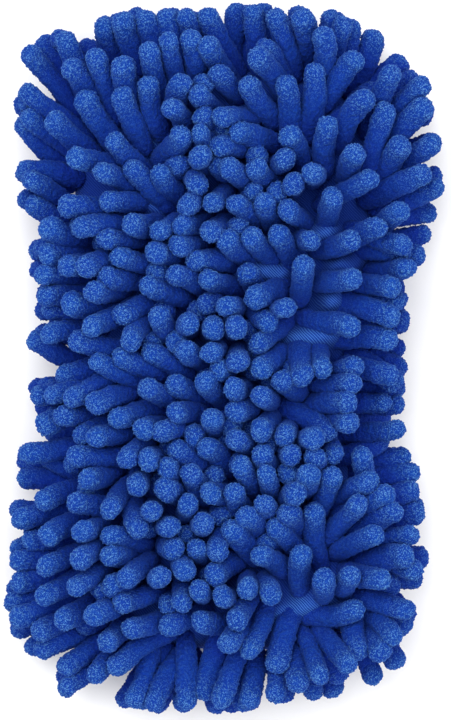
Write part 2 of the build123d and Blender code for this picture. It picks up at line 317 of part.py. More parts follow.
        (61.6, 80.1, 23.3, 85.8, 87.7, 25.0), (60.5, 86.5, 23.3, 81.4, 98.7, 21.8),
    ],
    "lower_edge_fingers_tip_end": [
        (-54.7, 101.5, 23.3, -73.1, 127.8, 20.0), (-50.4, 106.5, 23.4, -66.9, 129.1, 26.1),
        (-43.7, 107.7, 30.1, -55.8, 125.5, 21.3), (-34.5, 115.4, 23.3, -43.1, 135.6, 29.6),
        (-28.2, 117.0, 23.3, -37.4, 139.3, 28.2), (-21.6, 115.2, 29.5, -21.6, 138.4, 31.0),
        (-19.6, 118.1, 23.6, -20.2, 129.3, 15.8), (-8.6, 118.3, 24.8, -13.0, 135.9, 22.9),
        (2.7, 118.8, 23.3, 3.7, 139.4, 26.6), (9.3, 118.4, 24.3, 9.4, 139.5, 20.7),
        (24.7, 117.6, 23.3, 28.8, 139.8, 28.7), (53.0, 103.2, 23.3, 69.4, 119.0, 19.4),
    ],
}

def inset(d):
    """Outline points moved inwards by d."""
    p = np.array(OUTLINE, float)
    t = np.roll(p, -1, 0) - np.roll(p, 1, 0)
    t /= np.hypot(t[:, 0], t[:, 1])[:, None]
    return [tuple(q) for q in p + np.c_[t[:, 1], -t[:, 0]] * d]


def outline_face(z, d):
    """Sketch of the outline moved inwards by d, at height z."""
    with BuildSketch(Plane.XY.offset(z)) as sk:
        with BuildLine():
            Spline(*inset(d), periodic=True)
        make_face()
    return sk.sketch


def dome(d, z0, z1, r):
    """Pad body whose whole upper edge is rolled over with radius r."""
    with BuildPart() as body:
        with BuildSketch(Plane.XY.offset(z0)):
            with BuildLine():
                Spline(*inset(d), periodic=True)
            make_face()
        extrude(amount=z1 - z0)
        fillet(body.faces().sort_by(Axis.Z)[-1].edges(), radius=r)
    return body.part


def outline_walk(d, pitch):
    """Evenly spaced places along the outline moved inwards by d, with the direction there."""
    with BuildLine() as path:
        Spline(*inset(d), periodic=True)
    wire = path.wires()[0]
    n = int(wire.length // pitch)
    return [(wire.position_at(k / n), wire.tangent_at(k / n)) for k in range(n)]


def capsule(a, b, r):
    """Round-ended rod from a to b."""
    a, b = Vector(*a), Vector(*b)
    way = (b - a).normalized()
    length = (b - a).length
    across = Plane(origin=a, z_dir=way).x_dir
    with BuildPart() as rod:
        with BuildSketch(Plane(origin=a, x_dir=across, z_dir=across.cross(way))):
            with BuildLine():
                Line((0, -r), (0, length + r))
                ThreePointArc((0, length + r), (r * math.sqrt(0.5), length + r * math.sqrt(0.5)), (r, length))
                Line((r, length), (r, 0))
                ThreePointArc((r, 0), (r * math.sqrt(0.5), -r * math.sqrt(0.5)), (0, -r))
            make_face()
        revolve(axis=Axis(a, way))
    return rod.part


# ---------------------------------------------------------------- back side
with BuildPart() as back_panel:
    with BuildSketch(Plane.XY):
        add(outline_face(0, BACK_INSET))
    extrude(amount=BACK_T)
back_panel.part.label = "back_panel"
export_step(back_panel.part, "parts/back_panel.step")

with BuildPart() as perimeter_binding:
    with BuildSketch(Plane.XY.offset(BIND_Z0)):
        add(outline_face(BIND_Z0, 0.3))
        add(outline_face(BIND_Z0, 1.9), mode=Mode.SUBTRACT)
    extrude(amount=BIND_Z1 - BIND_Z0)
    with BuildSketch(Plane.XY.offset(BACK_T + 0.15)):
        add(outline_face(BACK_T + 0.15, 1.0))
        add(outline_face(BACK_T + 0.15, 4.8), mode=Mode.SUBTRACT)
    extrude(amount=BIND_LIP_Z - BACK_T - 0.15)
perimeter_binding.part.label = "perimeter_binding"
export_step(perimeter_binding.part, "parts/perimeter_binding.step")

perimeter_thread = []
for place, way in outline_walk(0.3, STITCH_PITCH):
    if abs(place.Y - LABEL_Y) < 14 and place.X > 0:
        continue
    half = way * (STITCH_LEN / 2 - THREAD_R)
    up = Vector(0, 0, 1.7)
    perimeter_thread.append(capsule(place - half + up, place + half + up, THREAD_R))
with BuildPart() as perimeter_stitches:
    add(perimeter_thread)
perimeter_stitches.part.label = "perimeter_stitches"
export_step(perimeter_stitches.part, "parts/perimeter_stitches.step")

with BuildPart() as pocket_lining_back:
    with BuildSketch(Plane.XY.offset(BACK_T + 0.2)):
        add(outline_face(BACK_T + 0.2, 5.2))
    extrude(amount=LINING_T)
pocket_lining_back.part.label = "pocket_lining_back"
export_step(pocket_lining_back.part, "parts/pocket_lining_back.step")

with BuildPart() as gusset_band:
    with BuildSketch(Plane.XY.offset(GUSSET_Z0)):
        add(outline_face(GUSSET_Z0, GUSSET_INSET))
        add(outline_face(GUSSET_Z0, GUSSET_INSET + GUSSET_T), mode=Mode.SUBTRACT)
        with Locations((0, -115)):
            Rectangle(MOUTH_W, 30, mode=Mode.SUBTRACT)
    extrude(amount=GUSSET_Z1 - GUSSET_Z0)
gusset_band.part.label = "gusset_band"
export_step(gusset_band.part, "parts/gusset_band.step")

# ---------------------------------------------------------------- mouth hem
hem_plane = Plane(origin=(0, HEM_Y0, HEM_Z), x_dir=(1, 0, 0), z_dir=(0, 1, 0))
HEM_LEN = HEM_Y1 - HEM_Y0
with BuildPart() as mouth_hem:
    # outer layer, inner layer and the fold that joins them at the mouth edge
    with BuildSketch(hem_plane):
        RectangleRounded(HEM_W, HEM_H, HEM_CORNER)
        RectangleRounded(HEM_W - 2 * SKIN, HEM_H - 2 * SKIN, HEM_CORNER - SKIN, mode=Mode.SUBTRACT)
    extrude(amount=HEM_LEN)
    with BuildSketch(hem_plane):
        o = 2 * (SKIN + FOLD_GAP)
        RectangleRounded(HEM_W - o, HEM_H - o, HEM_CORNER - o / 2)
        RectangleRounded(HEM_W - o - 2 * SKIN, HEM_H - o - 2 * SKIN, HEM_CORNER - o / 2 - SKIN, mode=Mode.SUBTRACT)
    extrude(amount=HEM_LEN)
    with BuildSketch(hem_plane):
        RectangleRounded(HEM_W, HEM_H, HEM_CORNER)
        RectangleRounded(HEM_W - o - 2 * SKIN, HEM_H - o - 2 * SKIN, HEM_CORNER - o / 2 - SKIN, mode=Mode.SUBTRACT)
    extrude(amount=SKIN * 1.4)
    fillet(mouth_hem.edges().filter_by(lambda e: abs(e.center().Y - HEM_Y0) < 1e-3).group_by(SortBy.LENGTH)[-1], radius=0.6)
mouth_hem.part.label = "mouth_hem"
export_step(mouth_hem.part, "parts/mouth_hem.step")

with BuildPart() as hem_elastic:
    with BuildSketch(hem_plane.offset(3.0)):
        e = 2 * (SKIN + 0.2)
        RectangleRounded(HEM_W - e, HEM_H - e, HEM_CORNER - e / 2)
        RectangleRounded(HEM_W - e - 2 * ELASTIC_T, HEM_H - e - 2 * ELASTIC_T, HEM_CORNER - e / 2 - ELASTIC_T, mode=Mode.SUBTRACT)
    extrude(amount=ELASTIC_W)
hem_elastic.part.label = "hem_elastic"
export_step(hem_elastic.part, "parts/hem_elastic.step")

hem_thread = []
for k in range(13):
    x = -36.0 + 6.0 * k
    for z, s in ((HEM_Z - HEM_H / 2, -1), (HEM_Z + HEM_H / 2, 1)):
        zz = z - s * 0.25
        hem_thread.append(capsule((x - 1.5, HEM_Y1 - 2.0, zz), (x + 1.5, HEM_Y1 - 2.0, zz), 0.35))
with BuildPart() as hem_stitches:
    add(hem_thread)
hem_stitches.part.label = "hem_stitches"
export_step(hem_stitches.part, "parts/hem_stitches.step")

# ---------------------------------------------------------------- padded front
cover_outer = dome(0.0, COVER_Z0, COVER_Z1, COVER_R)
cover_inner = dome(COVER_T, COVER_Z0 - 4.0, COVER_Z1 - COVER_T, COVER_R - COVER_T)
with BuildPart() as front_base_fabric:
    add(cover_outer)
    add(cover_inner, mode=Mode.SUBTRACT)
front_base_fabric.part.label = "front_base_fabric"
export_step(front_base_fabric.part, "parts/front_base_fabric.step")

with BuildPart() as foam_core:
    with BuildSketch(Plane.XY.offset(FOAM_Z0)):
        add(outline_face(FOAM_Z0, FOAM_INSET))
    extrude(amount=FOAM_Z1 - FOAM_Z0)
    fillet(foam_core.faces().sort_by(Axis.Z)[-1].edges(), radius=FOAM_R)
foam_core.part.label = "foam_core"
export_step(foam_core.part, "parts/foam_core.step")

with BuildPart() as pocket_lining_palm:
    with BuildSketch(Plane.XY.offset(PALM_Z)):
        add(outline_face(PALM_Z, 4.4))
    extrude(amount=PALM_T)
pocket_lining_palm.part.label = "pocket_lining_palm"
export_step(pocket_lining_palm.part, "parts/pocket_lining_palm.step")

# ---------------------------------------------------------------- hanging loop
# anchor tape: a short upright bar sewn to the gusset by an arm above and below
with BuildPart() as loop_anchor_tape:
    with BuildSketch(Plane.XY.offset(LOOP_Z0 - 1.2)):
        with Locations((LOOP_X, LOOP_Y)):
            Circle(1.2)
    extrude(amount=LOOP_Z1 - LOOP_Z0 + 2.4)
    for z in (LOOP_Z0 - 1.2, LOOP_Z1 + 0.2):
        with BuildSketch(Plane.XY.offset(z)):
            with Locations((LOOP_X + 4.0, LOOP_Y)):
                Rectangle(8.0, 2.4)
        extrude(amount=1.0)
loop_anchor_tape.part.label = "loop_anchor_tape"
export_step(loop_anchor_tape.part, "parts/loop_anchor_tape.step")

# webbing loop: an eye round the anchor bar, two legs and a rounded far end
with BuildPart() as hang_loop:
    with BuildSketch(Plane.XY.offset(LOOP_Z0)):
        with Locations((LOOP_X, LOOP_Y)):
            Circle(LOOP_EYE_R + WEBBING_T)
        with Locations((LOOP_X, LOOP_Y + 3.2)):
            Rectangle(2 * WEBBING_T + 0.2, 4.4)
        with BuildLine():
            y0, y1 = LOOP_Y + 5.0, LOOP_Y + LOOP_LENGTH - LOOP_HALF
            Line((LOOP_X - WEBBING_T, y0), (LOOP_X - LOOP_HALF, y0 + 9))
            Line((LOOP_X - LOOP_HALF, y0 + 9), (LOOP_X - LOOP_HALF, y1))
            ThreePointArc((LOOP_X - LOOP_HALF, y1), (LOOP_X, y1 + LOOP_HALF), (LOOP_X + LOOP_HALF, y1))
            Line((LOOP_X + LOOP_HALF, y1), (LOOP_X + LOOP_HALF, y0 + 9))
            Line((LOOP_X + LOOP_HALF, y0 + 9), (LOOP_X + WEBBING_T, y0))
            Line((LOOP_X + WEBBING_T, y0), (LOOP_X - WEBBING_T, y0))
        make_face()
        with BuildLine():
            w = LOOP_HALF - WEBBING_T
            Line((LOOP_X, y0 + 3.4), (LOOP_X - w, y0 + 9.2))
            Line((LOOP_X - w, y0 + 9.2), (LOOP_X - w, y1))
            ThreePointArc((LOOP_X - w, y1), (LOOP_X, y1 + w), (LOOP_X + w, y1))
            Line((LOOP_X + w, y1), (LOOP_X + w, y0 + 9.2))
            Line((LOOP_X + w, y0 + 9.2), (LOOP_X, y0 + 3.4))
        make_face(mode=Mode.SUBTRACT)
        with Locations((LOOP_X, LOOP_Y)):
            Circle(LOOP_EYE_R, mode=Mode.SUBTRACT)
    extrude(amount=LOOP_Z1 - LOOP_Z0)
hang_loop.part.label = "hang_loop"
export_step(hang_loop.part, "parts/hang_loop.step")

# bar tack: close rows of thread across the two legs next to the eye
tack_thread = []
for k in range(5):
    z = LOOP_Z0 + 0.9 + 0.8 * k
    for s in (-1, 1):
        x = LOOP_X + s * (WEBBING_T + 0.1)
        tack_thread.append(capsule((x, LOOP_Y + 2.9, z), (x, LOOP_Y + 4.9, z), 0.35))
with BuildPart() as loop_bar_tack:
    add(tack_thread)
loop_bar_tack.part.label = "loop_bar_tack"
export_step(loop_bar_tack.part, "parts/loop_bar_tack.step")

# ---------------------------------------------------------------- care label
# blank folded tab: a rolled sewn edge and a flat leaf with three needle slots
with BuildPart() as care_label:
    with BuildSketch(Plane(origin=(LABEL_X, LABEL_Y - LABEL_W / 2, LABEL_Z), x_dir=(1, 0, 0), z_dir=(0, 1, 0))):
        Circle(0.8)
        with Locations((LABEL_OUT / 2, 0)):
            Rectangle(LABEL_OUT, LABEL_T)
    extrude(amount=LABEL_W)
    with BuildSketch(Plane.XY.offset(LABEL_Z - 1.5)):
        for y in (-6, 0, 6):
            with Locations((LABEL_X + 1.75, LABEL_Y + y)):
                Rectangle(1.9, 1.4)
    extrude(amount=3.0, mode=Mode.SUBTRACT)
    fillet(care_label.edges().filter_by(Axis.Z).sort_by(Axis.X)[-2:], radius=1.5)
care_label.part.label = "care_label"
export_step(care_label.part, "parts/care_label.step")

# three thread rings hold the rolled edge of the label to the binding
label_rings = []
for y in (-6, 0, 6):
    with BuildPart() as ring:
        with BuildSketch(Plane(origin=(LABEL_X + 1.3, LABEL_Y + y, LABEL_Z), x_dir=(1, 0, 0), z_dir=(0, 0, 1))):
            Circle(0.3)
        revolve(axis=Axis((LABEL_X, LABEL_Y + y, LABEL_Z), (0, 1, 0)))
    label_rings.append(ring.part)
with BuildPart() as label_stitches:
    add(label_rings)
label_stitches.part.label = "label_stitches"
export_step(label_stitches.part, "parts/label_stitches.step")

# ---------------------------------------------------------------- chenille fingers
for name, rows in FINGERS.items():
    rods = [capsule(row[:3], row[3:], FINGER_R) for row in rows]
    with BuildPart() as finger_group:
        add(rods)
    finger_group.part.label = name
    export_step(finger_group.part, f"parts/{name}.step")
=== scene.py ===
import math
import json

import bpy
import numpy as np
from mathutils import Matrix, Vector
from mathutils.bvhtree import BVHTree

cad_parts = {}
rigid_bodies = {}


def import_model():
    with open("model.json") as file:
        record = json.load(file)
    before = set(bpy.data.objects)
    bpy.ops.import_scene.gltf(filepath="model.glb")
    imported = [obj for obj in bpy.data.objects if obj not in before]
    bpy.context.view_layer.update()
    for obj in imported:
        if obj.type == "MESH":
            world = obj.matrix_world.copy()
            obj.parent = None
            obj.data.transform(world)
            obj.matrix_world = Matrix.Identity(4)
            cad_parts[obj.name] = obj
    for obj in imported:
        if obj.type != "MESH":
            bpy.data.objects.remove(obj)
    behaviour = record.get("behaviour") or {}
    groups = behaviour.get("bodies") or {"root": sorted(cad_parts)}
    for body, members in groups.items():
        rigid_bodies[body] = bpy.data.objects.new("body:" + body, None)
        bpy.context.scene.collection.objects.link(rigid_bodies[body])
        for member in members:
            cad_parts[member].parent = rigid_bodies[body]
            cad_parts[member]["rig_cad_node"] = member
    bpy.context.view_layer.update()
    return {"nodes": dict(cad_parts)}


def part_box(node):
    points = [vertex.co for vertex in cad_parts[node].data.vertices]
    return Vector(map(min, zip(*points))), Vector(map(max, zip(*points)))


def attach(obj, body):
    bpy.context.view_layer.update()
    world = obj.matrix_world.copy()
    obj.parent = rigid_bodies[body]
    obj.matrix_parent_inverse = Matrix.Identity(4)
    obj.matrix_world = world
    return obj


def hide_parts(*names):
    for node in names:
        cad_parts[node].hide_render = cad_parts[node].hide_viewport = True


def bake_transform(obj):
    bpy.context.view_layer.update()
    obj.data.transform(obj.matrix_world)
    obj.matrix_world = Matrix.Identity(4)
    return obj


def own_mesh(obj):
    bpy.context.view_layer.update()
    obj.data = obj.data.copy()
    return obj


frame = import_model()
nodes = frame["nodes"]
MM = 0.001
CAM_H = 1.5  # camera height
REF_Z = 0.034  # height at which the picture scale is set
rng = np.random.default_rng(20240)

scene = bpy.context.scene
scene.view_settings.view_transform = "Standard"
scene.view_settings.look = "None"
scene.view_settings.exposure = 0.0
scene.view_settings.gamma = 1.0


# --------------------------------------------------------------------------
# small helpers
# --------------------------------------------------------------------------
def srgb(r, g, b):
    c = np.array([r, g, b], float) / 255.0
    c = np.where(c <= 0.04045, c / 12.92, ((c + 0.055) / 1.055) ** 2.4)
    return (*[float(v) for v in c], 1.0)


class Tree:
    """Short way to write a node tree."""

    def __init__(self, name):
        self.mat = bpy.data.materials.new(name)
        self.mat.use_nodes = True
        self.nt = self.mat.node_tree
        self.nt.nodes.clear()
        self.out = self.nt.nodes.new("ShaderNodeOutputMaterial")
        self.bsdf = self.nt.nodes.new("ShaderNodeBsdfPrincipled")
        self.link(self.bsdf.outputs[0], self.out.inputs["Surface"])

    def link(self, a, b):
        self.nt.links.new(a, b)

    def node(self, kind, **values):
        n = self.nt.nodes.new(kind)
        for k, v in values.items():
            if hasattr(n, k):
                setattr(n, k, v)
        return n

    def coords(self):
        return self.node("ShaderNodeTexCoord").outputs["Object"]

    def attr(self, name):
        n = self.node("ShaderNodeAttribute")
        n.attribute_name = name
        return n.outputs["Fac"]

    def noise(self, vec, scale, detail=2.0, rough=0.5, out="Fac"):
        n = self.node("ShaderNodeTexNoise")
        n.inputs["Scale"].default_value = scale
        n.inputs["Detail"].default_value = detail
        n.inputs["Roughness"].default_value = rough
        self.link(vec, n.inputs["Vector"])
        return n.outputs[out]

    def cells(self, vec, scale, out="Distance", rand=1.0):
        n = self.node("ShaderNodeTexVoronoi")
        n.inputs["Scale"].default_value = scale
        n.inputs["Randomness"].default_value = rand
        self.link(vec, n.inputs["Vector"])
        return n.outputs[out]

    def math(self, op, a, b=None, clamp=False):
        n = self.node("ShaderNodeMath")
        n.operation = op
        n.use_clamp = clamp
        for i, v in enumerate((a, b)):
            if v is None:
                continue
            if isinstance(v, (int, float)):
                n.inputs[i].default_value = v
            else:
                self.link(v, n.inputs[i])
        return n.outputs[0]

    def range(self, v, a, b, c=0.0, d=1.0, smooth=False):
        n = self.node("ShaderNodeMapRange")
        n.clamp = True
        if smooth:
            n.interpolation_type = "SMOOTHSTEP"
        self.link(v, n.inputs["Value"])
        for k, x in (("From Min", a), ("From Max", b), ("To Min", c), ("To Max", d)):
            n.inputs[k].default_value = x
        return n.outputs[0]

    def mix(self, fac, a, b, blend="MIX"):
        n = self.node("ShaderNodeMix")
        n.data_type = "RGBA"
        n.blend_type = blend
        if isinstance(fac, (int, float)):
            n.inputs["Factor"].default_value = fac
        else:
            self.link(fac, n.inputs["Factor"])
        for sock, v in ((n.inputs[6], a), (n.inputs[7], b)):
            if isinstance(v, (tuple, list)):
                sock.default_value = v
            else:
                self.link(v, sock)
        return n.outputs[2]

    def bump(self, height, strength, distance):
        n = self.node("ShaderNodeBump")
        n.inputs["Strength"].default_value = strength
        n.inputs["Distance"].default_value = distance
        self.link(height, n.inputs["Height"])
        self.link(n.outputs[0], self.bsdf.inputs["Normal"])
        return n

    def mapping(self, vec, scale=(1, 1, 1), rot=(0, 0, 0)):
        n = self.node("ShaderNodeMapping")
        n.inputs["Scale"].default_value = scale
        n.inputs["Rotation"].default_value = rot
        self.link(vec, n.inputs["Vector"])
        return n.outputs[0]

    def wave(self, vec, scale, distortion=0.0, detail=0.0, dscale=1.0, direction="X", profile="SIN"):
        n = self.node("ShaderNodeTexWave")
        n.wave_type = "BANDS"
        n.bands_direction = direction
        n.wave_profile = profile
        n.inputs["Scale"].default_value = scale
        n.inputs["Distortion"].default_value = distortion
        n.inputs["Detail"].default_value = detail
        n.inputs["Detail Scale"].default_value = dscale
        self.link(vec, n.inputs["Vector"])
        return n.outputs["Fac"]


def new_mesh(name, verts, faces, smooth=True, uv=None, attrs=None):
    """One mesh object from numpy arrays. faces is an (n, 4) or (n, 3) array or a list."""
    me = bpy.data.meshes.new(name)
    faces_list = faces.tolist() if isinstance(faces, np.ndarray) else faces
    me.from_pydata([tuple(v) for v in np.asarray(verts, float)], [], faces_list)
    me.validate(clean_customdata=False)
    if smooth:
        me.polygons.foreach_set("use_smooth", np.ones(len(me.polygons), bool))
    for k, v in (attrs or {}).items():
        a = me.attributes.new(k, "FLOAT", "POINT")
        a.data.foreach_set("value", np.asarray(v, np.float32))
    me.update()
    o = bpy.data.objects.new(name, me)
    scene.collection.objects.link(o)
    return o


def give(o, mat):
    o.data.materials.clear()
    o.data.materials.append(mat)


# --------------------------------------------------------------------------
# materials
# --------------------------------------------------------------------------
def chenille():
    t = Tree("chenille_pile")
    p = t.coords()
    tip = t.attr("tip")
    tuft = t.attr("tuft")
    rnd = t.attr("rnd")
    deep = t.attr("deep")
    # painted shade and light along each finger: darker at the sewn root, lighter towards the tip
    body = t.mix(t.range(tip, 0.0, 0.55, 0, 1, True), srgb(14, 46, 142), srgb(18, 60, 150))
    body = t.mix(t.range(tip, 0.70, 1.0, 0, 0.7, True), body, srgb(28, 80, 168))
    # finger to finger and patch to patch variation
    body = t.mix(t.range(rnd, 0, 1, 0.0, 0.35), body, srgb(15, 50, 142))
    cloud = t.noise(p, 190.0, 2.0, 0.5)
    body = t.mix(t.range(cloud, 0.35, 0.7, 0.0, 0.30), body, srgb(22, 54, 158))
    # tuft ends catch the light, their roots stay dark
    n1 = t.noise(p, 1150.0, 1.0, 0.5)
    warp = t.node("ShaderNodeVectorMath")
    warp.operation = "MULTIPLY_ADD"
    t.link(t.noise(p, 900.0, 1.0, 0.5, "Color"), warp.inputs[0])
    warp.inputs[1].default_value = (0.0005, 0.0005, 0.0005)
    t.link(p, warp.inputs[2])
    dots = t.range(t.cells(warp.outputs[0], 1950.0), 0.16, 0.55, 1.0, 0.0, True)
    crumb = t.math("ADD", t.math("MULTIPLY", dots, 0.55), t.math("MULTIPLY", tuft, 0.45))
    crumb = t.math("MULTIPLY", crumb, t.range(n1, 0.36, 0.56, 0.25, 1.0))
    # painted shade down between the fingers: the deeper the pile lies under the top, the more it is mixed to a darker,
    # more saturated blue
    body = t.mix(t.range(deep, 0.15, 1.0, 0.0, 0.75), body, srgb(17, 45, 148))
    # painted shade in the valleys between tufts, and painted highlights on the tuft ends towards the fingertips,
    # dimmed deeper in the pile
    shade = t.range(crumb, 0.04, 0.30, 0.50, 0.0)
    body = t.mix(shade, body, srgb(9, 28, 112))
    end = t.range(tip, 0.56, 1.0, 0.12, 1.0, True)
    lit = t.math("MULTIPLY", t.range(crumb, 0.20, 0.60, 0, 1), t.math("MULTIPLY", end, 0.80))
    sunk = t.range(deep, 0.15, 1.0, 1.0, 0.35)
    lit = t.math("MULTIPLY", lit, sunk)
    body = t.mix(lit, body, srgb(108, 164, 220))
    # thin pile seen edge-on scatters more light
    lw = t.node("ShaderNodeLayerWeight")
    lw.inputs["Blend"].default_value = 0.30
    rim = t.range(lw.outputs["Facing"], 0.45, 0.95, 0, 1)
    rim = t.math("MULTIPLY", rim, t.range(tip, 0.35, 0.95, 0.16, 0.75))
    rim = t.math("MULTIPLY", rim, t.range(crumb, 0.15, 0.6, 0.35, 1.0))
    rim = t.math("MULTIPLY", rim, sunk)
    body = t.mix(rim, body, srgb(100, 146, 222))
    t.link(body, t.bsdf.inputs["Base Color"])
    t.bsdf.inputs["Roughness"].default_value = 0.95
    t.bsdf.inputs["Specular IOR Level"].default_value = 0.06
    t.bsdf.inputs["Sheen Weight"].default_value = 0.16
    t.bsdf.inputs["Sheen Roughness"].default_value = 0.45
    t.bsdf.inputs["Sheen Tint"].default_value = srgb(96, 150, 245)
    h = t.math("ADD", t.math("MULTIPLY", crumb, 1.0), t.math("MULTIPLY", t.noise(p, 2600.0, 2.0, 0.6), 0.35))
    t.bump(h, 0.9, 0.0005)
    return t.mat


def slanted_rib():
    """The cover's ground knit: fine straight ribs on a slant, crossed by the stitch rows."""
    t = Tree("ground_knit")
    o = t.coords()
    deep = t.attr("deep")
    wob = t.node("ShaderNodeVectorMath")
    wob.operation = "MULTIPLY_ADD"
    t.link(t.noise(o, 120.0, 1.0, 0.5, "Color"), wob.inputs[0])
    wob.inputs[1].default_value = (0.0016, 0.0016, 0.0016)
    t.link(o, wob.inputs[2])
    sep = t.node("ShaderNodeSeparateXYZ")
    t.link(t.mapping(wob.outputs[0], rot=(0, 0, math.radians(-44))), sep.inputs[0])
    rib = t.math("SINE", t.math("MULTIPLY", sep.outputs[0], 2 * math.pi / (0.86 * MM)))
    row = t.math("SINE", t.math("MULTIPLY", sep.outputs[1], 2 * math.pi / (0.60 * MM)))
    rib = t.range(rib, -0.7, 0.8, 0, 1)
    loops = t.math("MULTIPLY", rib, t.range(row, -1, 1, 0.62, 1.0))
    grain = t.noise(o, 2300.0, 2.0, 0.6)
    patch = t.noise(o, 90.0, 3.0, 0.55)
    c = t.mix(loops, srgb(14, 46, 140), srgb(40, 98, 184))
    c = t.mix(t.range(loops, 0.55, 1.0, 0, 0.7), c, srgb(100, 156, 218))
    c = t.mix(t.range(grain, 0.5, 0.72, 0, 0.25), c, srgb(78, 128, 208))
    c = t.mix(t.range(patch, 0.35, 0.7, 0, 0.3), c, srgb(18, 52, 146))
    # painted shade: darker and bluer where the cover lies deep under the pile
    c = t.mix(t.range(deep, 0.30, 1.0, 0.0, 0.75), c, srgb(16, 42, 144))
    t.link(c, t.bsdf.inputs["Base Color"])
    t.bsdf.inputs["Roughness"].default_value = 0.92
    t.bsdf.inputs["Specular IOR Level"].default_value = 0.08
    t.bsdf.inputs["Sheen Weight"].default_value = 0.12
    t.bsdf.inputs["Sheen Tint"].default_value = srgb(96, 150, 245)
    t.bump(t.math("ADD", loops, t.math("MULTIPLY", grain, 0.25)), 0.7, 0.00035)
    return t.mat


def knit(name, base, dark, light, pitch_mm, row_mm, around=None, depth=0.6):
    """Rib knit: stitch columns (wales) side by side, crossed by finer stitch rows.

    around names a mesh attribute that counts millimetres across the columns; without it
    the columns run along Y.
    """
    t = Tree(name)
    o = t.coords()
    sep = t.node("ShaderNodeSeparateXYZ")
    t.link(o, sep.inputs[0])
    if around:
        across, down = t.math("MULTIPLY", t.attr(around), MM), t.attr("fall")
        down = t.math("MULTIPLY", down, MM)
    else:
        across, down = sep.outputs[0], sep.outputs[1]
    wob = t.math("MULTIPLY", t.noise(o, 260.0, 1.0, 0.5), 0.25 * pitch_mm * MM)
    wale = t.math("SINE", t.math("MULTIPLY", t.math("ADD", across, wob), 2 * math.pi / (pitch_mm * MM)))
    lean = t.math("ADD", down, t.math("MULTIPLY", t.math("ABSOLUTE", wale), 0.22 * row_mm * MM))
    row = t.math("SINE", t.math("MULTIPLY", lean, 2 * math.pi / (row_mm * MM)))
    loops = t.math("MULTIPLY", t.range(wale, -0.9, 0.7, 0, 1, True), t.range(row, -1, 0.8, 0.55, 1.0))
    patch = t.noise(o, 70.0, 3.0, 0.55)
    grain = t.noise(o, 2400.0, 2.0, 0.6)
    c = t.mix(loops, dark, base)
    c = t.mix(t.range(loops, 0.7, 1.0, 0, 0.4), c, light)
    c = t.mix(t.range(grain, 0.52, 0.72, 0, 0.35), c, light)
    c = t.mix(t.range(patch, 0.35, 0.7, 0, 0.25), c, dark)
    t.link(c, t.bsdf.inputs["Base Color"])
    t.bsdf.inputs["Roughness"].default_value = 0.9
    t.bsdf.inputs["Specular IOR Level"].default_value = 0.12
    t.bsdf.inputs["Sheen Weight"].default_value = 0.2
    t.bsdf.inputs["Sheen Tint"].default_value = light
    t.bump(t.math("ADD", loops, t.math("MULTIPLY", grain, 0.25)), depth, 0.00030)
    return t.mat


def woven(name, base, dark, light, pitch_mm, depth=0.5, rough=0.8):
    """Plain weave: crossing warp and weft threads."""
    t = Tree(name)
    p = t.coords()
    s = math.pi / (pitch_mm * MM) / 10.0
    sep = t.node("ShaderNodeSeparateXYZ")
    t.link(p, sep.inputs[0])
    f = 2 * math.pi / (pitch_mm * MM)
    sx = t.math("SINE", t.math("MULTIPLY", sep.outputs[0], f))
    sy = t.math("SINE", t.math("MULTIPLY", sep.outputs[1], f))
    sz = t.math("SINE", t.math("MULTIPLY", sep.outputs[2], f))
    w = t.math("MULTIPLY", sx, sy)
    w = t.math("ADD", w, t.math("MULTIPLY", sz, 0.5))
    grain = t.noise(p, 1800.0, 2.0, 0.6)
    patch = t.noise(p, 90.0, 3.0, 0.5)
    c = t.mix(t.range(w, -1, 1, 0, 0.8), dark, base)
    c = t.mix(t.range(grain, 0.5, 0.75, 0, 0.4), c, light)
    c = t.mix(t.range(patch, 0.4, 0.7, 0, 0.2), c, dark)
    t.link(c, t.bsdf.inputs["Base Color"])
    t.bsdf.inputs["Roughness"].default_value = rough
    t.bsdf.inputs["Specular IOR Level"].default_value = 0.2
    t.bump(t.math("ADD", w, grain), depth, 0.00018)
    return t.mat


def sponge():
    t = Tree("foam_cells")
    p = t.coords()
    c1 = t.cells(p, 900.0)
    c2 = t.cells(p, 420.0)
    tone = t.noise(p, 60.0, 3.0, 0.5)
    c = t.mix(t.range(c1, 0.05, 0.4, 0, 1), srgb(238, 232, 205), srgb(196, 186, 150))
    c = t.mix(t.range(tone, 0.35, 0.7, 0, 0.3), c, srgb(222, 206, 160))
    t.link(c, t.bsdf.inputs["Base Color"])
    t.bsdf.inputs["Roughness"].default_value = 1.0
    t.bump(t.math("ADD", c1, c2), 0.8, 0.0006)
    return t.mat


pile_mat = chenille()
ground_mat = slanted_rib()
gusset_mat = knit("gusset_rib", srgb(22, 58, 146), srgb(8, 26, 96), srgb(70, 112, 192), 1.35, 0.80, "around", 0.7)
hem_mat = knit("hem_rib", srgb(20, 54, 138), srgb(8, 24, 88), srgb(66, 106, 184), 1.33, 0.80, "around", 0.7)
back_mat = knit("back_knit", srgb(24, 62, 150), srgb(9, 28, 100), srgb(76, 120, 198), 0.90, 0.62, None, 0.6)
lining_mat = woven("lining_weave", srgb(122, 146, 196), srgb(84, 104, 158), srgb(176, 192, 222), 0.7, 0.3, 0.6)
binding_mat = woven("binding_weave", srgb(16, 36, 104), srgb(7, 16, 62), srgb(52, 78, 150), 0.8, 0.6)
webbing_mat = woven("loop_weave", srgb(20, 46, 124), srgb(8, 20, 74), srgb(66, 96, 176), 0.9, 0.7)
thread_mat = woven("thread_twist", srgb(40, 74, 158), srgb(14, 30, 96), srgb(110, 142, 210), 0.35, 0.6, 0.55)
label_mat = woven("label_satin", srgb(232, 232, 226), srgb(200, 200, 194), srgb(250, 250, 246), 0.4, 0.25, 0.5)
elastic_mat = woven("elastic_weave", srgb(214, 212, 202), srgb(160, 158, 150), srgb(240, 238, 230), 1.0, 0.6)
foam_mat = sponge()


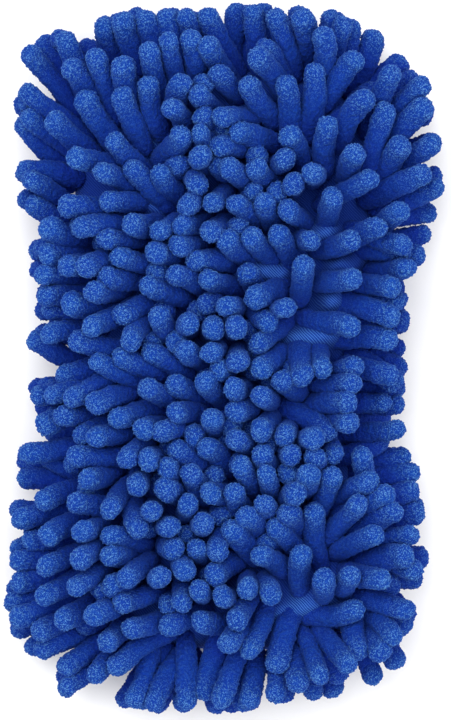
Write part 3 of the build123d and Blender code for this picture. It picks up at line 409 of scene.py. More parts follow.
# --------------------------------------------------------------------------
# the fingers' axes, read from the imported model
# --------------------------------------------------------------------------
def islands(o):
    """Vertex arrays of each separate solid in a node's mesh."""
    me = o.data
    n = len(me.vertices)
    co = np.empty(n * 3)
    me.vertices.foreach_get("co", co)
    co = co.reshape(-1, 3)
    e = np.empty(len(me.edges) * 2, int)
    me.edges.foreach_get("vertices", e)
    e = e.reshape(-1, 2)
    # the solids' faces may not share vertices: weld by place first
    key = np.round(co / 2e-6).astype(np.int64)
    _, lab = np.unique(key, axis=0, return_inverse=True)
    lab = lab.ravel()
    parent = np.arange(lab.max() + 1)
    a, b = lab[e[:, 0]], lab[e[:, 1]]
    for _ in range(200):
        m = np.minimum(parent[a], parent[b])
        new = parent.copy()
        np.minimum.at(new, a, m)
        np.minimum.at(new, b, m)
        new = new[new]
        if (new == parent).all():
            break
        parent = new
    lab = parent[lab]
    return [co[lab == k] for k in np.unique(lab)]


cover = nodes["front_base_fabric"]
cover_tree = BVHTree.FromPolygons([v.co.copy() for v in cover.data.vertices], [tuple(p.vertices) for p in cover.data.polygons])


def axis_of(pts):
    """Both ends of a round-ended rod: its two farthest points."""
    c = pts.mean(0)
    a = pts[np.argmax(((pts - c) ** 2).sum(1))]
    b = pts[np.argmax(((pts - a) ** 2).sum(1))]
    a = pts[np.argmax(((pts - b) ** 2).sum(1))]
    return a, b


finger_nodes = sorted(n for n in nodes if "fingers" in n)
fingers = {}
for n in finger_nodes:
    rows = []
    for pts in islands(nodes[n]):
        a, b = axis_of(pts)
        da = cover_tree.find_nearest(Vector(a))[3]
        db = cover_tree.find_nearest(Vector(b))[3]
        if da > db:
            a, b = b, a
        rows.append((a, b))
    fingers[n] = rows
print("fingers", sum(len(r) for r in fingers.values()))

# --------------------------------------------------------------------------
# outline of the mitt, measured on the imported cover
# --------------------------------------------------------------------------
lo, hi = [np.array(v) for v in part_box("front_base_fabric")]
HEM_Z, TOP_Z = lo[2], hi[2]
ROLL = 17.9 * MM


def outline(count=360):
    pts = []
    z = HEM_Z + 0.3 * MM
    for k in range(count):
        th = 2 * math.pi * k / count
        d = Vector((math.cos(th), math.sin(th), 0))
        hit = cover_tree.ray_cast(Vector((0, 0, z)) + d * 0.3, -d)
        pts.append([hit[0].x, hit[0].y])
    p = np.array(pts)
    # even spacing
    seg = np.linalg.norm(np.roll(p, -1, 0) - p, axis=1)
    arc = np.r_[0, np.cumsum(seg)]
    q = np.linspace(0, arc[-1], count, endpoint=False)
    pp = np.vstack([p, p[:1]])
    p = np.c_[np.interp(q, arc, pp[:, 0]), np.interp(q, arc, pp[:, 1])]
    for _ in range(3):
        p = 0.5 * p + 0.25 * (np.roll(p, 1, 0) + np.roll(p, -1, 0))
    return p


OUT = outline(480)
tangent = np.roll(OUT, -1, 0) - np.roll(OUT, 1, 0)
tangent /= np.linalg.norm(tangent, axis=1)[:, None]
NORMAL = np.c_[tangent[:, 1], -tangent[:, 0]]  # outwards for a counter-clockwise outline
if ((OUT * NORMAL).sum(1) < 0).sum() > len(OUT) / 2:
    NORMAL = -NORMAL


def field_noise(x, y, cell, seed):
    """Smooth value noise on the plane."""
    g = np.random.default_rng(seed).normal(size=(97, 97))
    u = x / cell + 48.0
    v = y / cell + 48.0
    i, j = np.floor(u).astype(int), np.floor(v).astype(int)
    fu, fv = u - i, v - j
    fu, fv = fu * fu * (3 - 2 * fu), fv * fv * (3 - 2 * fv)
    i %= 96
    j %= 96
    return (g[i, j] * (1 - fu) + g[i + 1, j] * fu) * (1 - fv) + (g[i, j + 1] * (1 - fu) + g[i + 1, j + 1] * fu) * fv


def strip(name, rings, closed_rings=True, cap_first=False, cap_last=False, attrs=None):
    """Quads between successive closed rings of points."""
    rings = np.asarray(rings)
    m, k, _ = rings.shape
    idx = np.arange(m * k).reshape(m, k)
    a, b = (idx[:-1], idx[1:])
    if closed_rings:
        f = np.stack([a, np.roll(a, -1, 1), np.roll(b, -1, 1), b], -1).reshape(-1, 4).tolist()
    else:
        f = np.stack([a[:, :-1], a[:, 1:], b[:, 1:], b[:, :-1]], -1).reshape(-1, 4).tolist()
    if cap_first:
        f.append(list(idx[0, ::-1]))
    if cap_last:
        f.append(list(idx[-1]))
    return new_mesh(name, rings.reshape(-1, 3), f, attrs=attrs)



# --------------------------------------------------------------------------
# noise on lattices, all seeded
# --------------------------------------------------------------------------
LAT = 48
_g1 = np.random.default_rng(51).random((LAT, LAT, LAT)).astype(np.float32)
_g3 = np.random.default_rng(52).random((LAT, LAT, LAT, 3)).astype(np.float32)
_turn = np.linalg.qr(np.random.default_rng(53).normal(size=(3, 3)))[0]


def value3(p, cell):
    """Smooth value noise in space, 0 to 1, for an (n, 3) array of points."""
    q = (p @ _turn) / cell + 1000.0
    i = np.floor(q).astype(np.int64)
    f = q - i
    f = f * f * (3 - 2 * f)
    out = 0.0
    for a in (0, 1):
        for b in (0, 1):
            for c in (0, 1):
                w = (f[:, 0] if a else 1 - f[:, 0]) * (f[:, 1] if b else 1 - f[:, 1]) * (f[:, 2] if c else 1 - f[:, 2])
                out = out + w * _g1[(i[:, 0] + a) % LAT, (i[:, 1] + b) % LAT, (i[:, 2] + c) % LAT]
    return out


def tufts3(p, cell):
    """Rounded bumps packed like yarn tufts: 1 at a tuft's middle, 0 in the valleys."""
    q = (p @ _turn) / cell + 1000.0
    i = np.floor(q - 0.5).astype(np.int64)
    best = np.full(len(p), 9.0, np.float32)
    for a in (0, 1):
        for b in (0, 1):
            for c in (0, 1):
                g = _g3[(i[:, 0] + a) % LAT, (i[:, 1] + b) % LAT, (i[:, 2] + c) % LAT]
                d2 = 0.0
                for k, o in enumerate((a, b, c)):
                    d2 = d2 + (q[:, k] - (i[:, k] + o) - 0.15 - 0.7 * g[:, k]) ** 2
                best = np.minimum(best, d2)
    return np.clip(1 - np.sqrt(best) / 0.85, 0, 1)


# --------------------------------------------------------------------------
# how the fingers lie: a seeded relaxation of 428 soft chains
# --------------------------------------------------------------------------
PILE_R = 4.3 * MM
CAD_R = 3.1 * MM
LINKS = 9
gen = np.random.default_rng(77)
node_of, A, B = [], [], []
for n in finger_nodes:
    for r in sorted(fingers[n], key=lambda r: (round(float(r[0][1]), 4), round(float(r[0][0]), 4))):
        node_of.append(n)
        A.append(r[0])
        B.append(r[1])
node_of = np.array(node_of)
A, B = np.array(A), np.array(B)
N = len(A)
way = B - A
way /= np.linalg.norm(way, axis=1)[:, None]
TC = B - CAD_R * way  # middle of each round end

# how far the pile reaches to each side, every 20 millimetres along the mitt
ROWS, COLS = np.arange(-140, 141, 20) * MM, np.arange(-80, 81, 20) * MM
LEFT = np.array([-63, -81, -88, -86, -85, -83, -76, -80, -76, -77, -79, -84, -82, -82, -68]) * MM
RIGHT = np.array([59, 70, 74, 79, 78, 76, 70, 71, 72, 75, 86, 86, 81, 74, 58]) * MM
BOTTOM = np.array([-124, -130, -138, -140, -140, -136, -134, -128, -115]) * MM
TOP = np.array([125, 135, 139, 139, 141, 141, 139, 130, 123]) * MM
EASE = 1.6 * MM
persp = (CAM_H - TC[:, 2]) / (CAM_H - REF_Z)
for _ in range(2):
    lo_x = np.interp(TC[:, 1], ROWS, LEFT) * persp + PILE_R
    hi_x = np.interp(TC[:, 1], ROWS, RIGHT) * persp - PILE_R
    lo_y = np.interp(TC[:, 0], COLS, BOTTOM) * persp + PILE_R
    hi_y = np.interp(TC[:, 0], COLS, TOP) * persp - PILE_R
    TC[:, 0] += np.clip(lo_x - EASE - TC[:, 0], 0, 3 * MM) - np.clip(TC[:, 0] - hi_x - EASE, 0, 3 * MM)
    TC[:, 1] += np.clip(lo_y - EASE - TC[:, 1], 0, 3 * MM) - np.clip(TC[:, 1] - hi_y - EASE, 0, 3 * MM)
way = TC - A
chain_len = np.linalg.norm(way, axis=1)
way /= chain_len[:, None]
ref = np.where(np.abs(way[:, 2:3]) < 0.8, [[0.0, 0.0, 1.0]], [[1.0, 0.0, 0.0]])
ex = np.cross(way, ref)
ex /= np.linalg.norm(ex, axis=1)[:, None]
ey = np.cross(way, ex)
thick = PILE_R * gen.uniform(0.94, 1.06, N)
u = np.linspace(0, 1, LINKS)
phi = gen.uniform(0, 2 * math.pi, N)
bow = gen.uniform(0.3, 1.0, N) * 0.075 * chain_len
sway = gen.uniform(-1, 1, N) * 0.03 * chain_len
cx = np.cos(phi)[:, None] * ex + np.sin(phi)[:, None] * ey
cy = -np.sin(phi)[:, None] * ex + np.cos(phi)[:, None] * ey
T = A[:, None] + (u[None, :, None] * chain_len[:, None, None]) * way[:, None]
T = T + (np.sin(math.pi * u)[None, :, None] * bow[:, None, None]) * cx[:, None] + (np.sin(2 * math.pi * u)[None, :, None] * sway[:, None, None]) * cy[:, None]


def girth(s):
    """Finger radius over its thickness, from the sewn root to the full body."""
    k = np.clip(s / (8 * MM), 0, 1)
    return 0.74 + 0.26 * k * k * (3 - 2 * k)


def body_distance(p):
    """Distance outside the padded body, with the direction away from it."""
    d2 = (p[:, None, 0] - OUT[None, :, 0]) ** 2 + (p[:, None, 1] - OUT[None, :, 1]) ** 2
    k = d2.argmin(1)
    d = ((p[:, :2] - OUT[k]) * NORMAL[k]).sum(1)
    h = p[:, 2] - HEM_Z
    out = np.where(h < 0, d, np.where(d > -ROLL, np.hypot(d + ROLL, h) - ROLL, p[:, 2] - TOP_Z))
    a = np.clip(d + ROLL, 0, None)
    b = np.clip(h, 0, None)
    q = np.hypot(a, b) + 1e-9
    nrm = np.c_[NORMAL[k] * np.where(h < 0, 1.0, a / q)[:, None], np.where(h < 0, 0.0, b / q)]
    return out, nrm


seg_len = chain_len / (LINKS - 1)
RAD = (thick[:, None] * girth(u[None] * chain_len[:, None])) * 0.95
P = T.copy()
fid = np.repeat(np.arange(N), LINKS)
hold = np.tile(np.array([0.0, 0.25] + [1.0] * (LINKS - 2)), N)
loop_c = np.array([-0.0649, -0.0925])
steps = 130
pairs = None
for it in range(steps):
    flat = P.reshape(-1, 3)
    rr = RAD.ravel()
    if it % 13 == 0:
        f32 = flat.astype(np.float32)
        sq = (f32 ** 2).sum(1)
        d2 = sq[:, None] + sq[None] - 2 * f32 @ f32.T
        near = d2 < (2.2 * PILE_R + 2 * MM) ** 2
        pi, pj = np.where(np.triu(near, 1))
        ok = fid[pi] != fid[pj]
        pairs = (pi[ok], pj[ok])
    pi, pj = pairs
    dv = flat[pi] - flat[pj]
    dd = np.linalg.norm(dv, axis=1) + 1e-9
    gap = (rr[pi] + rr[pj]) * 0.97 - dd
    hit = gap > 0
    pi, pj, dv, dd, gap = pi[hit], pj[hit], dv[hit], dd[hit], gap[hit]
    push = dv / dd[:, None] * (gap * 0.22)[:, None]
    acc = np.zeros_like(flat)
    for k in range(3):
        acc[:, k] = np.bincount(pi, push[:, k], len(flat)) - np.bincount(pj, push[:, k], len(flat))
    flat = flat + acc * hold[:, None]
    P = flat.reshape(P.shape)
    P[:, 1:] += 0.045 * (T[:, 1:] - P[:, 1:])
    if it % 3 == 0:
        q = P[:, 2:].reshape(-1, 3)
        d, nrm = body_distance(q)
        need = RAD[:, 2:].ravel() * 0.85 - d
        q = q + nrm * (np.clip(need, 0, None) * 0.5)[:, None]
        # keep off the bench, the hang loop's swing and the label's flip
        q[:, 2] = np.maximum(q[:, 2], RAD[:, 2:].ravel() + 0.5 * MM)
        r = RAD[:, 2:].ravel()
        dl = np.hypot(q[:, 0] - loop_c[0], q[:, 1] - loop_c[1])
        inside = (dl < 0.044 + r) & (q[:, 0] < -0.0600) & (q[:, 2] < 9.9 * MM + r)
        q[:, 2] = np.where(inside, np.minimum(q[:, 2] + 0.4 * MM, 10.3 * MM + r), q[:, 2])
        inside = (q[:, 0] > 0.0560) & (q[:, 0] < 0.0705 + r) & (q[:, 1] > -0.098 - r) & (q[:, 1] < -0.076 + r)
        low = 5.6 * MM + np.clip(q[:, 0] - 0.0574, 0, 0.0125) * math.tan(math.radians(36)) + r / math.cos(math.radians(36)) * 1.0
        q[:, 2] = np.where(inside & (q[:, 2] < low), np.minimum(q[:, 2] + 0.4 * MM, low), q[:, 2])
        P[:, 2:] = q.reshape(N, LINKS - 2, 3)
    mid = 0.5 * (P[:, :-2] + P[:, 2:])
    P[:, 1:-1] += 0.12 * (mid - P[:, 1:-1])
    for k in range(1, LINKS):
        d = P[:, k] - P[:, k - 1]
        P[:, k] = P[:, k - 1] + d / (np.linalg.norm(d, axis=1)[:, None] + 1e-9) * seg_len[:, None]
print("tip shift mm", round(float(np.linalg.norm(P[:, -1] - TC, axis=1).mean() * 1000), 2))

# --------------------------------------------------------------------------
# the fingers' surfaces
# --------------------------------------------------------------------------
DEG = 4
fit = np.linalg.pinv(np.vander(u, DEG + 1, increasing=True))
coef = np.einsum("dk,nkc->ndc", fit, P)


def pile_points(sel, rings, segs):
    n = len(sel)
    L = chain_len[sel]
    R = thick[sel]
    fine = 300
    f = np.linspace(0, 1, fine)
    s = f[None] * (L + R)[:, None]
    r = R[:, None] * girth(s)
    root = 2.2 * MM
    r = r * np.sqrt(np.clip(1 - np.clip((root - s) / root, 0, 1) ** 2, 0, 1))
    cap = np.clip((s - L[:, None]) / R[:, None], 0, 1)
    r = r * np.clip(1 - cap ** 2.2, 0, 1) ** (1 / 2.1)
    arc = np.concatenate([np.zeros((n, 1)), np.cumsum(np.hypot(np.diff(s, axis=1), np.diff(r, axis=1)), 1)], 1)
    S = np.empty((n, rings))
    RR = np.empty((n, rings))
    for i in range(n):
        q = np.linspace(0, arc[i, -1], rings)
        S[i] = np.interp(q, arc[i], s[i])
        RR[i] = np.interp(q, arc[i], r[i])
    RR[:, 0] = RR[:, -1] = 0
    uu = S / L[:, None]
    k = np.arange(DEG + 1)
    uc = np.clip(uu, 0, 1)
    pw = uc[..., None] ** k
    C = np.einsum("nrd,ndc->nrc", pw, coef[sel])
    dpw = np.zeros_like(pw)
    dpw[..., 1:] = k[1:] * uc[..., None] ** (k[1:] - 1)
    D = np.einsum("nrd,ndc->nrc", dpw, coef[sel])
    C = C + np.clip(uu - 1, 0, None)[..., None] * D
    D = D / np.linalg.norm(D, axis=2)[..., None]
    X = ex[sel][:, None] - (ex[sel][:, None] * D).sum(2)[..., None] * D
    X = X / np.linalg.norm(X, axis=2)[..., None]
    Y = np.cross(D, X)
    ang = np.linspace(0, 2 * math.pi, segs, endpoint=False)
    ca, sa = np.cos(ang), np.sin(ang)
    radial = ca[None, None, :, None] * X[:, :, None] + sa[None, None, :, None] * Y[:, :, None]
    dS = np.gradient(S, axis=1)
    dR = np.gradient(RR, axis=1)
    m = np.hypot(dS, dR) + 1e-12
    nrm = radial * (dS / m)[..., None, None] - D[:, :, None] * (dR / m)[..., None, None]
    # pressed a little out of round by the neighbours
    squash = 1 + 0.06 * np.cos(2 * (ang[None, None] - phi[sel][:, None, None]))
    base = C[:, :, None] + radial * RR[..., None, None] * squash[..., None]
    q = (base + (gen_shift[sel][:, None, None])).reshape(-1, 3)
    t1 = tufts3(q, 1.12 * MM)
    v1 = value3(q, 0.62 * MM)
    v2 = value3(q + 0.3, 3.4 * MM)
    v3 = value3(q + 0.7, 8.0 * MM)
    h = 1.00 * (t1 - 0.42) + 0.42 * (v1 - 0.5) + 0.70 * (v2 - 0.5) + 0.95 * (v3 - 0.5)
    h = (h * MM).reshape(n, rings, segs)
    for e in (0, -1):
        h[:, e] = h[:, e].mean(1, keepdims=True)
    base = base + nrm * h[..., None]
    tuft = np.clip(0.65 * t1 + 0.35 * v1, 0, 1).reshape(n, rings, segs)
    return base, np.clip(S / (L + R)[:, None], 0, 1), tuft


gen_shift = gen.uniform(-0.4, 0.4, (N, 3))


def closed_tubes(name, pts, tip, tuft, rnd, deep):
    """Closed finger solids: quad rings with one vertex at each pole."""
    n, rings, segs, _ = pts.shape
    per = (rings - 2) * segs + 2
    v = np.empty((n, per, 3), np.float32)
    v[:, 0] = pts[:, 0, 0]
    v[:, 1:-1] = pts[:, 1:-1].reshape(n, -1, 3)
    v[:, -1] = pts[:, -1, 0]

    def pack(a):
        w = np.empty((n, per), np.float32)
        w[:, 0] = a[:, 0, 0]
        w[:, 1:-1] = a[:, 1:-1].reshape(n, -1)
        w[:, -1] = a[:, -1, 0]
        return w.ravel()

    j = np.arange(segs)
    jn = (j + 1) % segs
    i = np.arange(rings - 3)[:, None]
    quad = np.stack([1 + i * segs + j, 1 + i * segs + jn, 1 + (i + 1) * segs + jn, 1 + (i + 1) * segs + j], -1).reshape(-1, 4)
    low = np.stack([np.zeros(segs, int), 1 + jn, 1 + j], -1)
    e = 1 + (rings - 3) * segs
    high = np.stack([np.full(segs, per - 1), e + j, e + jn], -1)
    base = np.arange(n)[:, None, None] * per
    quads = (quad[None] + base).reshape(-1, 4)
    tris = (np.concatenate([low, high])[None] + base).reshape(-1, 3)
    me = bpy.data.meshes.new(name)
    me.vertices.add(n * per)
    me.vertices.foreach_set("co", v.ravel())
    nl = quads.size + tris.size
    me.loops.add(nl)
    me.loops.foreach_set("vertex_index", np.r_[quads.ravel(), tris.ravel()].astype(np.int32))
    me.polygons.add(len(quads) + len(tris))
    me.polygons.foreach_set("loop_start", np.r_[np.arange(len(quads)) * 4, quads.size + np.arange(len(tris)) * 3].astype(np.int32))
    me.polygons.foreach_set("use_smooth", np.ones(len(me.polygons), bool))
    me.update(calc_edges=True)
    for k, a in (("tip", tip), ("tuft", tuft), ("rnd", rnd), ("deep", deep)):
        at = me.attributes.new(k, "FLOAT", "POINT")
        at.data.foreach_set("value", pack(a))
    # one clean tile of the map for each finger
    uv = me.uv_layers.new(name="OFBake")
    cols = math.ceil(math.sqrt(n))
    rows = math.ceil(n / cols)
    k = np.arange(n)
    iu = np.stack([j, j + 1, j + 1, j], -1)
    qu = np.broadcast_to(iu[None], (rings - 3, segs, 4)).reshape(-1)
    qv = np.stack([i + 1 + 0 * j, i + 1 + 0 * j, i + 2 + 0 * j, i + 2 + 0 * j], -1).reshape(-1)
    tu = np.r_[np.stack([j + 0.5, j + 1, j], -1).ravel(), np.stack([j + 0.5, j, j + 1], -1).ravel()]
    tv = np.r_[np.stack([0 * j, 0 * j + 1, 0 * j + 1], -1).ravel(), np.stack([0 * j + rings - 1, 0 * j + rings - 2, 0 * j + rings - 2], -1).ravel()]
    pad = 0.035

    def place(a, b):
        x = ((k % cols)[:, None] + pad + (1 - 2 * pad) * a[None] / segs) / cols
        y = ((k // cols)[:, None] + pad + (1 - 2 * pad) * b[None] / (rings - 1)) / rows
        return np.stack([x, y], -1).reshape(-1, 2)

    uv.data.foreach_set("uv", np.r_[place(qu, qv), place(tu, tv)].astype(np.float32).ravel())
    o = bpy.data.objects.new(name, me)
    scene.collection.objects.link(o)
    return o


built = []
for n in finger_nodes:
    sel = np.where(node_of == n)[0]
    k = math.sqrt(min(1.0, 97000 / (len(sel) * 60 * 52)))
    rings_n, segs_n = int(60 * k), int(52 * k)
    pts, tip, tuft = pile_points(sel, rings_n, segs_n)
    built.append((n, sel, pts, tip, tuft))

# how deep every place lies under the pile's top
GRID = 2.5 * MM
gx0, gy0 = -0.12, -0.17
gw, gh = 96, 136
canopy = np.zeros((gw, gh))
for n, sel, pts, tip, tuft in built:
    f = pts.reshape(-1, 3)
    gi = np.clip(((f[:, 0] - gx0) / GRID).astype(int), 0, gw - 1)
    gj = np.clip(((f[:, 1] - gy0) / GRID).astype(int), 0, gh - 1)
    np.maximum.at(canopy, (gi, gj), f[:, 2])
grown = canopy.copy()
for di in (-1, 0, 1):
    for dj in (-1, 0, 1):
        grown = np.maximum(grown, np.roll(np.roll(canopy, di, 0), dj, 1) - 1.0 * MM)
for _ in range(2):
    grown = (grown * 2 + np.roll(grown, 1, 0) + np.roll(grown, -1, 0) + np.roll(grown, 1, 1) + np.roll(grown, -1, 1)) / 6


def depth(p):
    gi = np.clip((p[:, 0] - gx0) / GRID - 0.5, 0, gw - 2)
    gj = np.clip((p[:, 1] - gy0) / GRID - 0.5, 0, gh - 2)
    i, j = gi.astype(int), gj.astype(int)
    a, b = gi - i, gj - j
    c = (grown[i, j] * (1 - a) + grown[i + 1, j] * a) * (1 - b) + (grown[i, j + 1] * (1 - a) + grown[i + 1, j + 1] * a) * b
    return np.clip((c - p[:, 2]) / (22 * MM), 0, 1)


piles = []
for n, sel, pts, tip, tuft in built:
    k, rings_n, segs_n = pts.shape[:3]
    deep = depth(pts.reshape(-1, 3)).reshape(k, rings_n, segs_n)
    rnd = np.repeat(gen.uniform(0, 1, k), rings_n * segs_n).reshape(k, rings_n, segs_n)
    tipf = np.broadcast_to(tip[:, :, None], (k, rings_n, segs_n))
    o = closed_tubes("pile_" + n, pts, tipf, tuft, rnd, deep)
    give(o, pile_mat)
    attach(o, "pad")
    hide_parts(n)
    piles.append(o)

# --- cover: the rib-knit ground fabric, rolled over its whole edge ---------
roots = A

# folds and webs of ground fabric that stand up between the fingers:
# x, y, half length, half width (mm), turn (deg), rise (mm)
FOLDS = [
    (39, 50, 8, 5.5, 5, 13), (48, 38, 9, 4.5, 12, 12), (15, 35, 11, 5, -4, 12), (43, 24, 6, 5.5, 20, 13),
    (36, 9, 13, 5, 3, 14), (49, -16, 4.2, 17, 4, 13), (31, -97, 17, 6.5, 20, 9), (-9, -113, 22, 4.5, -3, 3),
    (8, -101, 9, 6, 10, 8), (64, -34, 5, 8, 0, 8), (-30, 62, 8, 4, -30, 8), (5, 96, 9, 4, 25, 7),
]


def fold_rise(x, y):
    h = np.zeros_like(x)
    for fx, fy, hl, hw, turn, rise in FOLDS:
        c, s = math.cos(math.radians(turn)), math.sin(math.radians(turn))
        dx, dy = x - fx * MM, y - fy * MM
        a = (dx * c + dy * s) / (hl * MM)
        b = (-dx * s + dy * c) / (hw * MM)
        h = np.maximum(h, rise * MM * np.exp(-(np.abs(a) ** 3) - np.abs(b) ** 2.4))
    return h


FINE = 56


def cover_rings():
    outer = []
    for k in range(26):
        th = math.pi / 2 * k / 25
        d = ROLL * (1 - math.cos(th))
        z = HEM_Z + ROLL * math.sin(th)
        p = OUT - NORMAL * d
        outer.append(np.c_[p, np.full(len(p), z)])
    last = outer[-1]
    spine = np.c_[np.zeros(len(last)), np.clip(last[:, 1], -0.075, 0.078) * 0.93]
    for k in range(1, FINE + 1):
        f = 0.955 * k / FINE
        p = last[:, :2] * (1 - f) + spine * f
        outer.append(np.c_[p, np.full(len(p), TOP_Z)])
    return np.array(outer)


outer = cover_rings()
flat_pts = outer.reshape(-1, 3)
wob = field_noise(flat_pts[:, 0], flat_pts[:, 1], 9 * MM, 3) * 0.35 * MM + field_noise(flat_pts[:, 0], flat_pts[:, 1], 22 * MM, 4) * 0.45 * MM
# each sewn finger pulls a dimple into the fabric
d2 = np.full(len(flat_pts), 1.0)
for r in roots:
    d2 = np.minimum(d2, ((flat_pts - r) ** 2).sum(1))
pull = np.exp(-d2 / (4.2 * MM) ** 2)
nz = np.clip((flat_pts[:, 2] - HEM_Z) / ROLL, 0, 1)
shift = (wob + 0.35 * MM * (1 - pull) - 0.5 * MM * pull)
nxy = np.tile(NORMAL, (len(outer), 1)).reshape(-1, 2) * np.sqrt(np.clip(1 - nz ** 2, 0, 1))[:, None]
hem_hold = np.clip((flat_pts[:, 2] - HEM_Z) / (3 * MM), 0, 1)
rise = fold_rise(flat_pts[:, 0], flat_pts[:, 1]) * np.clip(nz * 1.4 - 0.2, 0, 1)
rise = rise * (1 + 0.10 * field_noise(flat_pts[:, 0], flat_pts[:, 1], 5 * MM, 6))
moved = flat_pts + np.c_[nxy, nz] * (shift * hem_hold)[:, None]
moved[:, 2] += rise
outer = moved.reshape(outer.shape)
inner = flat_pts.reshape(outer.shape).copy()
inner[..., 2] -= 1.3 * MM * np.clip((inner[..., 2] - HEM_Z) / ROLL, 0, 1)
inner[..., :2] -= np.tile(NORMAL[None], (len(outer), 1, 1)) * 1.3 * MM * np.sqrt(np.clip(1 - nz.reshape(outer.shape[:2]) ** 2, 0, 1))[..., None]
turned = np.c_[OUT - NORMAL * 2.5 * MM, np.full(len(OUT), HEM_Z + 0.1 * MM)][None]
rings = np.concatenate([inner[::-1], turned, outer])
cover_vis = strip("cover_fabric", rings, cap_first=True, cap_last=True, attrs={"deep": depth(rings.reshape(-1, 3))})
give(cover_vis, ground_mat)
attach(cover_vis, "pad")
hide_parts("front_base_fabric")

# --- foam core ---------------------------------------------------------------
foam = []
flo, fhi = [np.array(v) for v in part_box("foam_core")]
FR = 15.5 * MM
fz0 = flo[2]
bottom_c = np.c_[np.zeros(len(OUT)), np.clip(OUT[:, 1], -0.075, 0.078) * 0.9]
for f in (0.05, 0.35, 0.7, 0.93):
    p = bottom_c * (1 - f) + (OUT - NORMAL * 4.4 * MM) * f
    foam.append(np.c_[p, np.full(len(p), fz0)])
for k in range(12):
    th = math.pi / 2 * k / 11
    p = OUT - NORMAL * (4.2 * MM + (FR - 2.1 * MM) * (1 - math.cos(th)))
    foam.append(np.c_[p, np.full(len(p), fz0 + 0.5 * MM + (fhi[2] - fz0 - 0.5 * MM) * math.sin(th))])
last = foam[-1]
for f in (0.25, 0.5, 0.75, 0.955):
    p = last[:, :2] * (1 - f) + bottom_c * f
    foam.append(np.c_[p, np.full(len(p), fhi[2])])
foam = np.array(foam)
foam[..., 2] += field_noise(foam[..., 0].ravel(), foam[..., 1].ravel(), 6 * MM, 9).reshape(foam.shape[:2]) * 0.12 * MM
foam_vis = strip("foam_block", foam, cap_first=True, cap_last=True)
give(foam_vis, foam_mat)
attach(foam_vis, "pad")
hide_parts("foam_core")
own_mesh(foam_vis)

# --- gusset: stretch rib band between the back panel and the cover -----------
glo, ghi = [np.array(v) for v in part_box("gusset_band")]
mouth_half = 0.047
keep = ~((np.abs(OUT[:, 0]) < mouth_half) & (OUT[:, 1] < -0.09))
order = np.arange(len(OUT))
start = None
for i in order:
    if keep[i] and not keep[i - 1]:
        start = i
order = np.roll(order, -start)
order = [i for i in order if keep[i]]
coarse, cn = OUT[order], NORMAL[order]
c_arc = np.r_[0, np.cumsum(np.linalg.norm(np.diff(coarse, axis=0), axis=1))]
m = 2400
s_arc = np.linspace(0, c_arc[-1], m)
band = np.c_[np.interp(s_arc, c_arc, coarse[:, 0]), np.interp(s_arc, c_arc, coarse[:, 1])]
bn = np.c_[np.interp(s_arc, c_arc, cn[:, 0]), np.interp(s_arc, c_arc, cn[:, 1])]
bn /= np.linalg.norm(bn, axis=1)[:, None]
rib = np.sin(2 * math.pi * s_arc / (1.35 * MM)) * 0.13 * MM
soft = np.interp(s_arc, np.linspace(0, s_arc[-1], 70), np.random.default_rng(8).normal(size=70)) * 0.35 * MM
soft = np.convolve(np.pad(soft, 20, mode="edge"), np.ones(41) / 41, mode="valid")
tuck = np.interp(s_arc, np.linspace(0, s_arc[-1], 180), np.random.default_rng(9).normal(size=180)) * 0.22 * MM
tuck = np.convolve(np.pad(tuck, 8, mode="edge"), np.ones(17) / 17, mode="valid")
out_r, in_r, fall = [], [], []
for k in range(15):
    f = k / 14
    z = glo[2] + (ghi[2] + 0.6 * MM - glo[2]) * f
    bulge = math.sin(math.pi * f)
    off = -2.2 * MM + bulge * 1.1 * MM + rib * (0.5 + 0.5 * bulge) + soft * bulge + tuck * (f ** 3 + (1 - f) ** 3)
    out_r.append(np.c_[band + bn * off[:, None], np.full(m, z)])
    in_r.append(np.c_[band + bn * (off - 0.9 * MM)[:, None], np.full(m, z)])
    fall.append(z / MM)
loop = np.array(out_r + in_r[::-1])
g_around = np.tile(s_arc / MM, loop.shape[0])
g_fall = np.repeat(np.array(fall + fall[::-1]), m)
idx = np.arange(loop.shape[0] * m).reshape(loop.shape[0], m)
a, b = idx, np.roll(idx, -1, 0)
f = np.stack([a[:, :-1], a[:, 1:], b[:, 1:], b[:, :-1]], -1).reshape(-1, 4).tolist()
f += [list(idx[::-1, 0]), list(idx[:, -1])]
gusset = new_mesh("gusset_rib_band", loop.reshape(-1, 3), f, attrs={"around": g_around, "fall": g_fall})
give(gusset, gusset_mat)
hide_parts("gusset_band")
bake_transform(gusset)


# --- mouth hem: folded rib band, its elastic and its stitch rows --------------
def rounded_loop(w, h, r, count):
    """Closed rounded rectangle, evenly spaced, centred on the origin."""
    pts = []
    for cx, cy, a0 in ((w / 2 - r, h / 2 - r, 0), (-w / 2 + r, h / 2 - r, 90), (-w / 2 + r, -h / 2 + r, 180), (w / 2 - r, -h / 2 + r, 270)):
        for k in range(24):
            t = math.radians(a0 + 90 * k / 23)
            pts.append((cx + r * math.cos(t), cy + r * math.sin(t)))
    p = np.array(pts + pts[:1])
    arc = np.r_[0, np.cumsum(np.linalg.norm(np.diff(p, axis=0), axis=1))]
    q = np.linspace(0, arc[-1], count, endpoint=False)
    return np.c_[np.interp(q, arc, p[:, 0]), np.interp(q, arc, p[:, 1])], q / arc[-1] * arc[-1]


hlo, hhi = [np.array(v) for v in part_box("mouth_hem")]
hw, hh = hhi[0] - hlo[0], hhi[2] - hlo[2]
hz = (hhi[2] + hlo[2]) / 2
hy0, hy1 = hlo[1], hhi[1]


HEM_N = 900
HEM_RIBS = 150


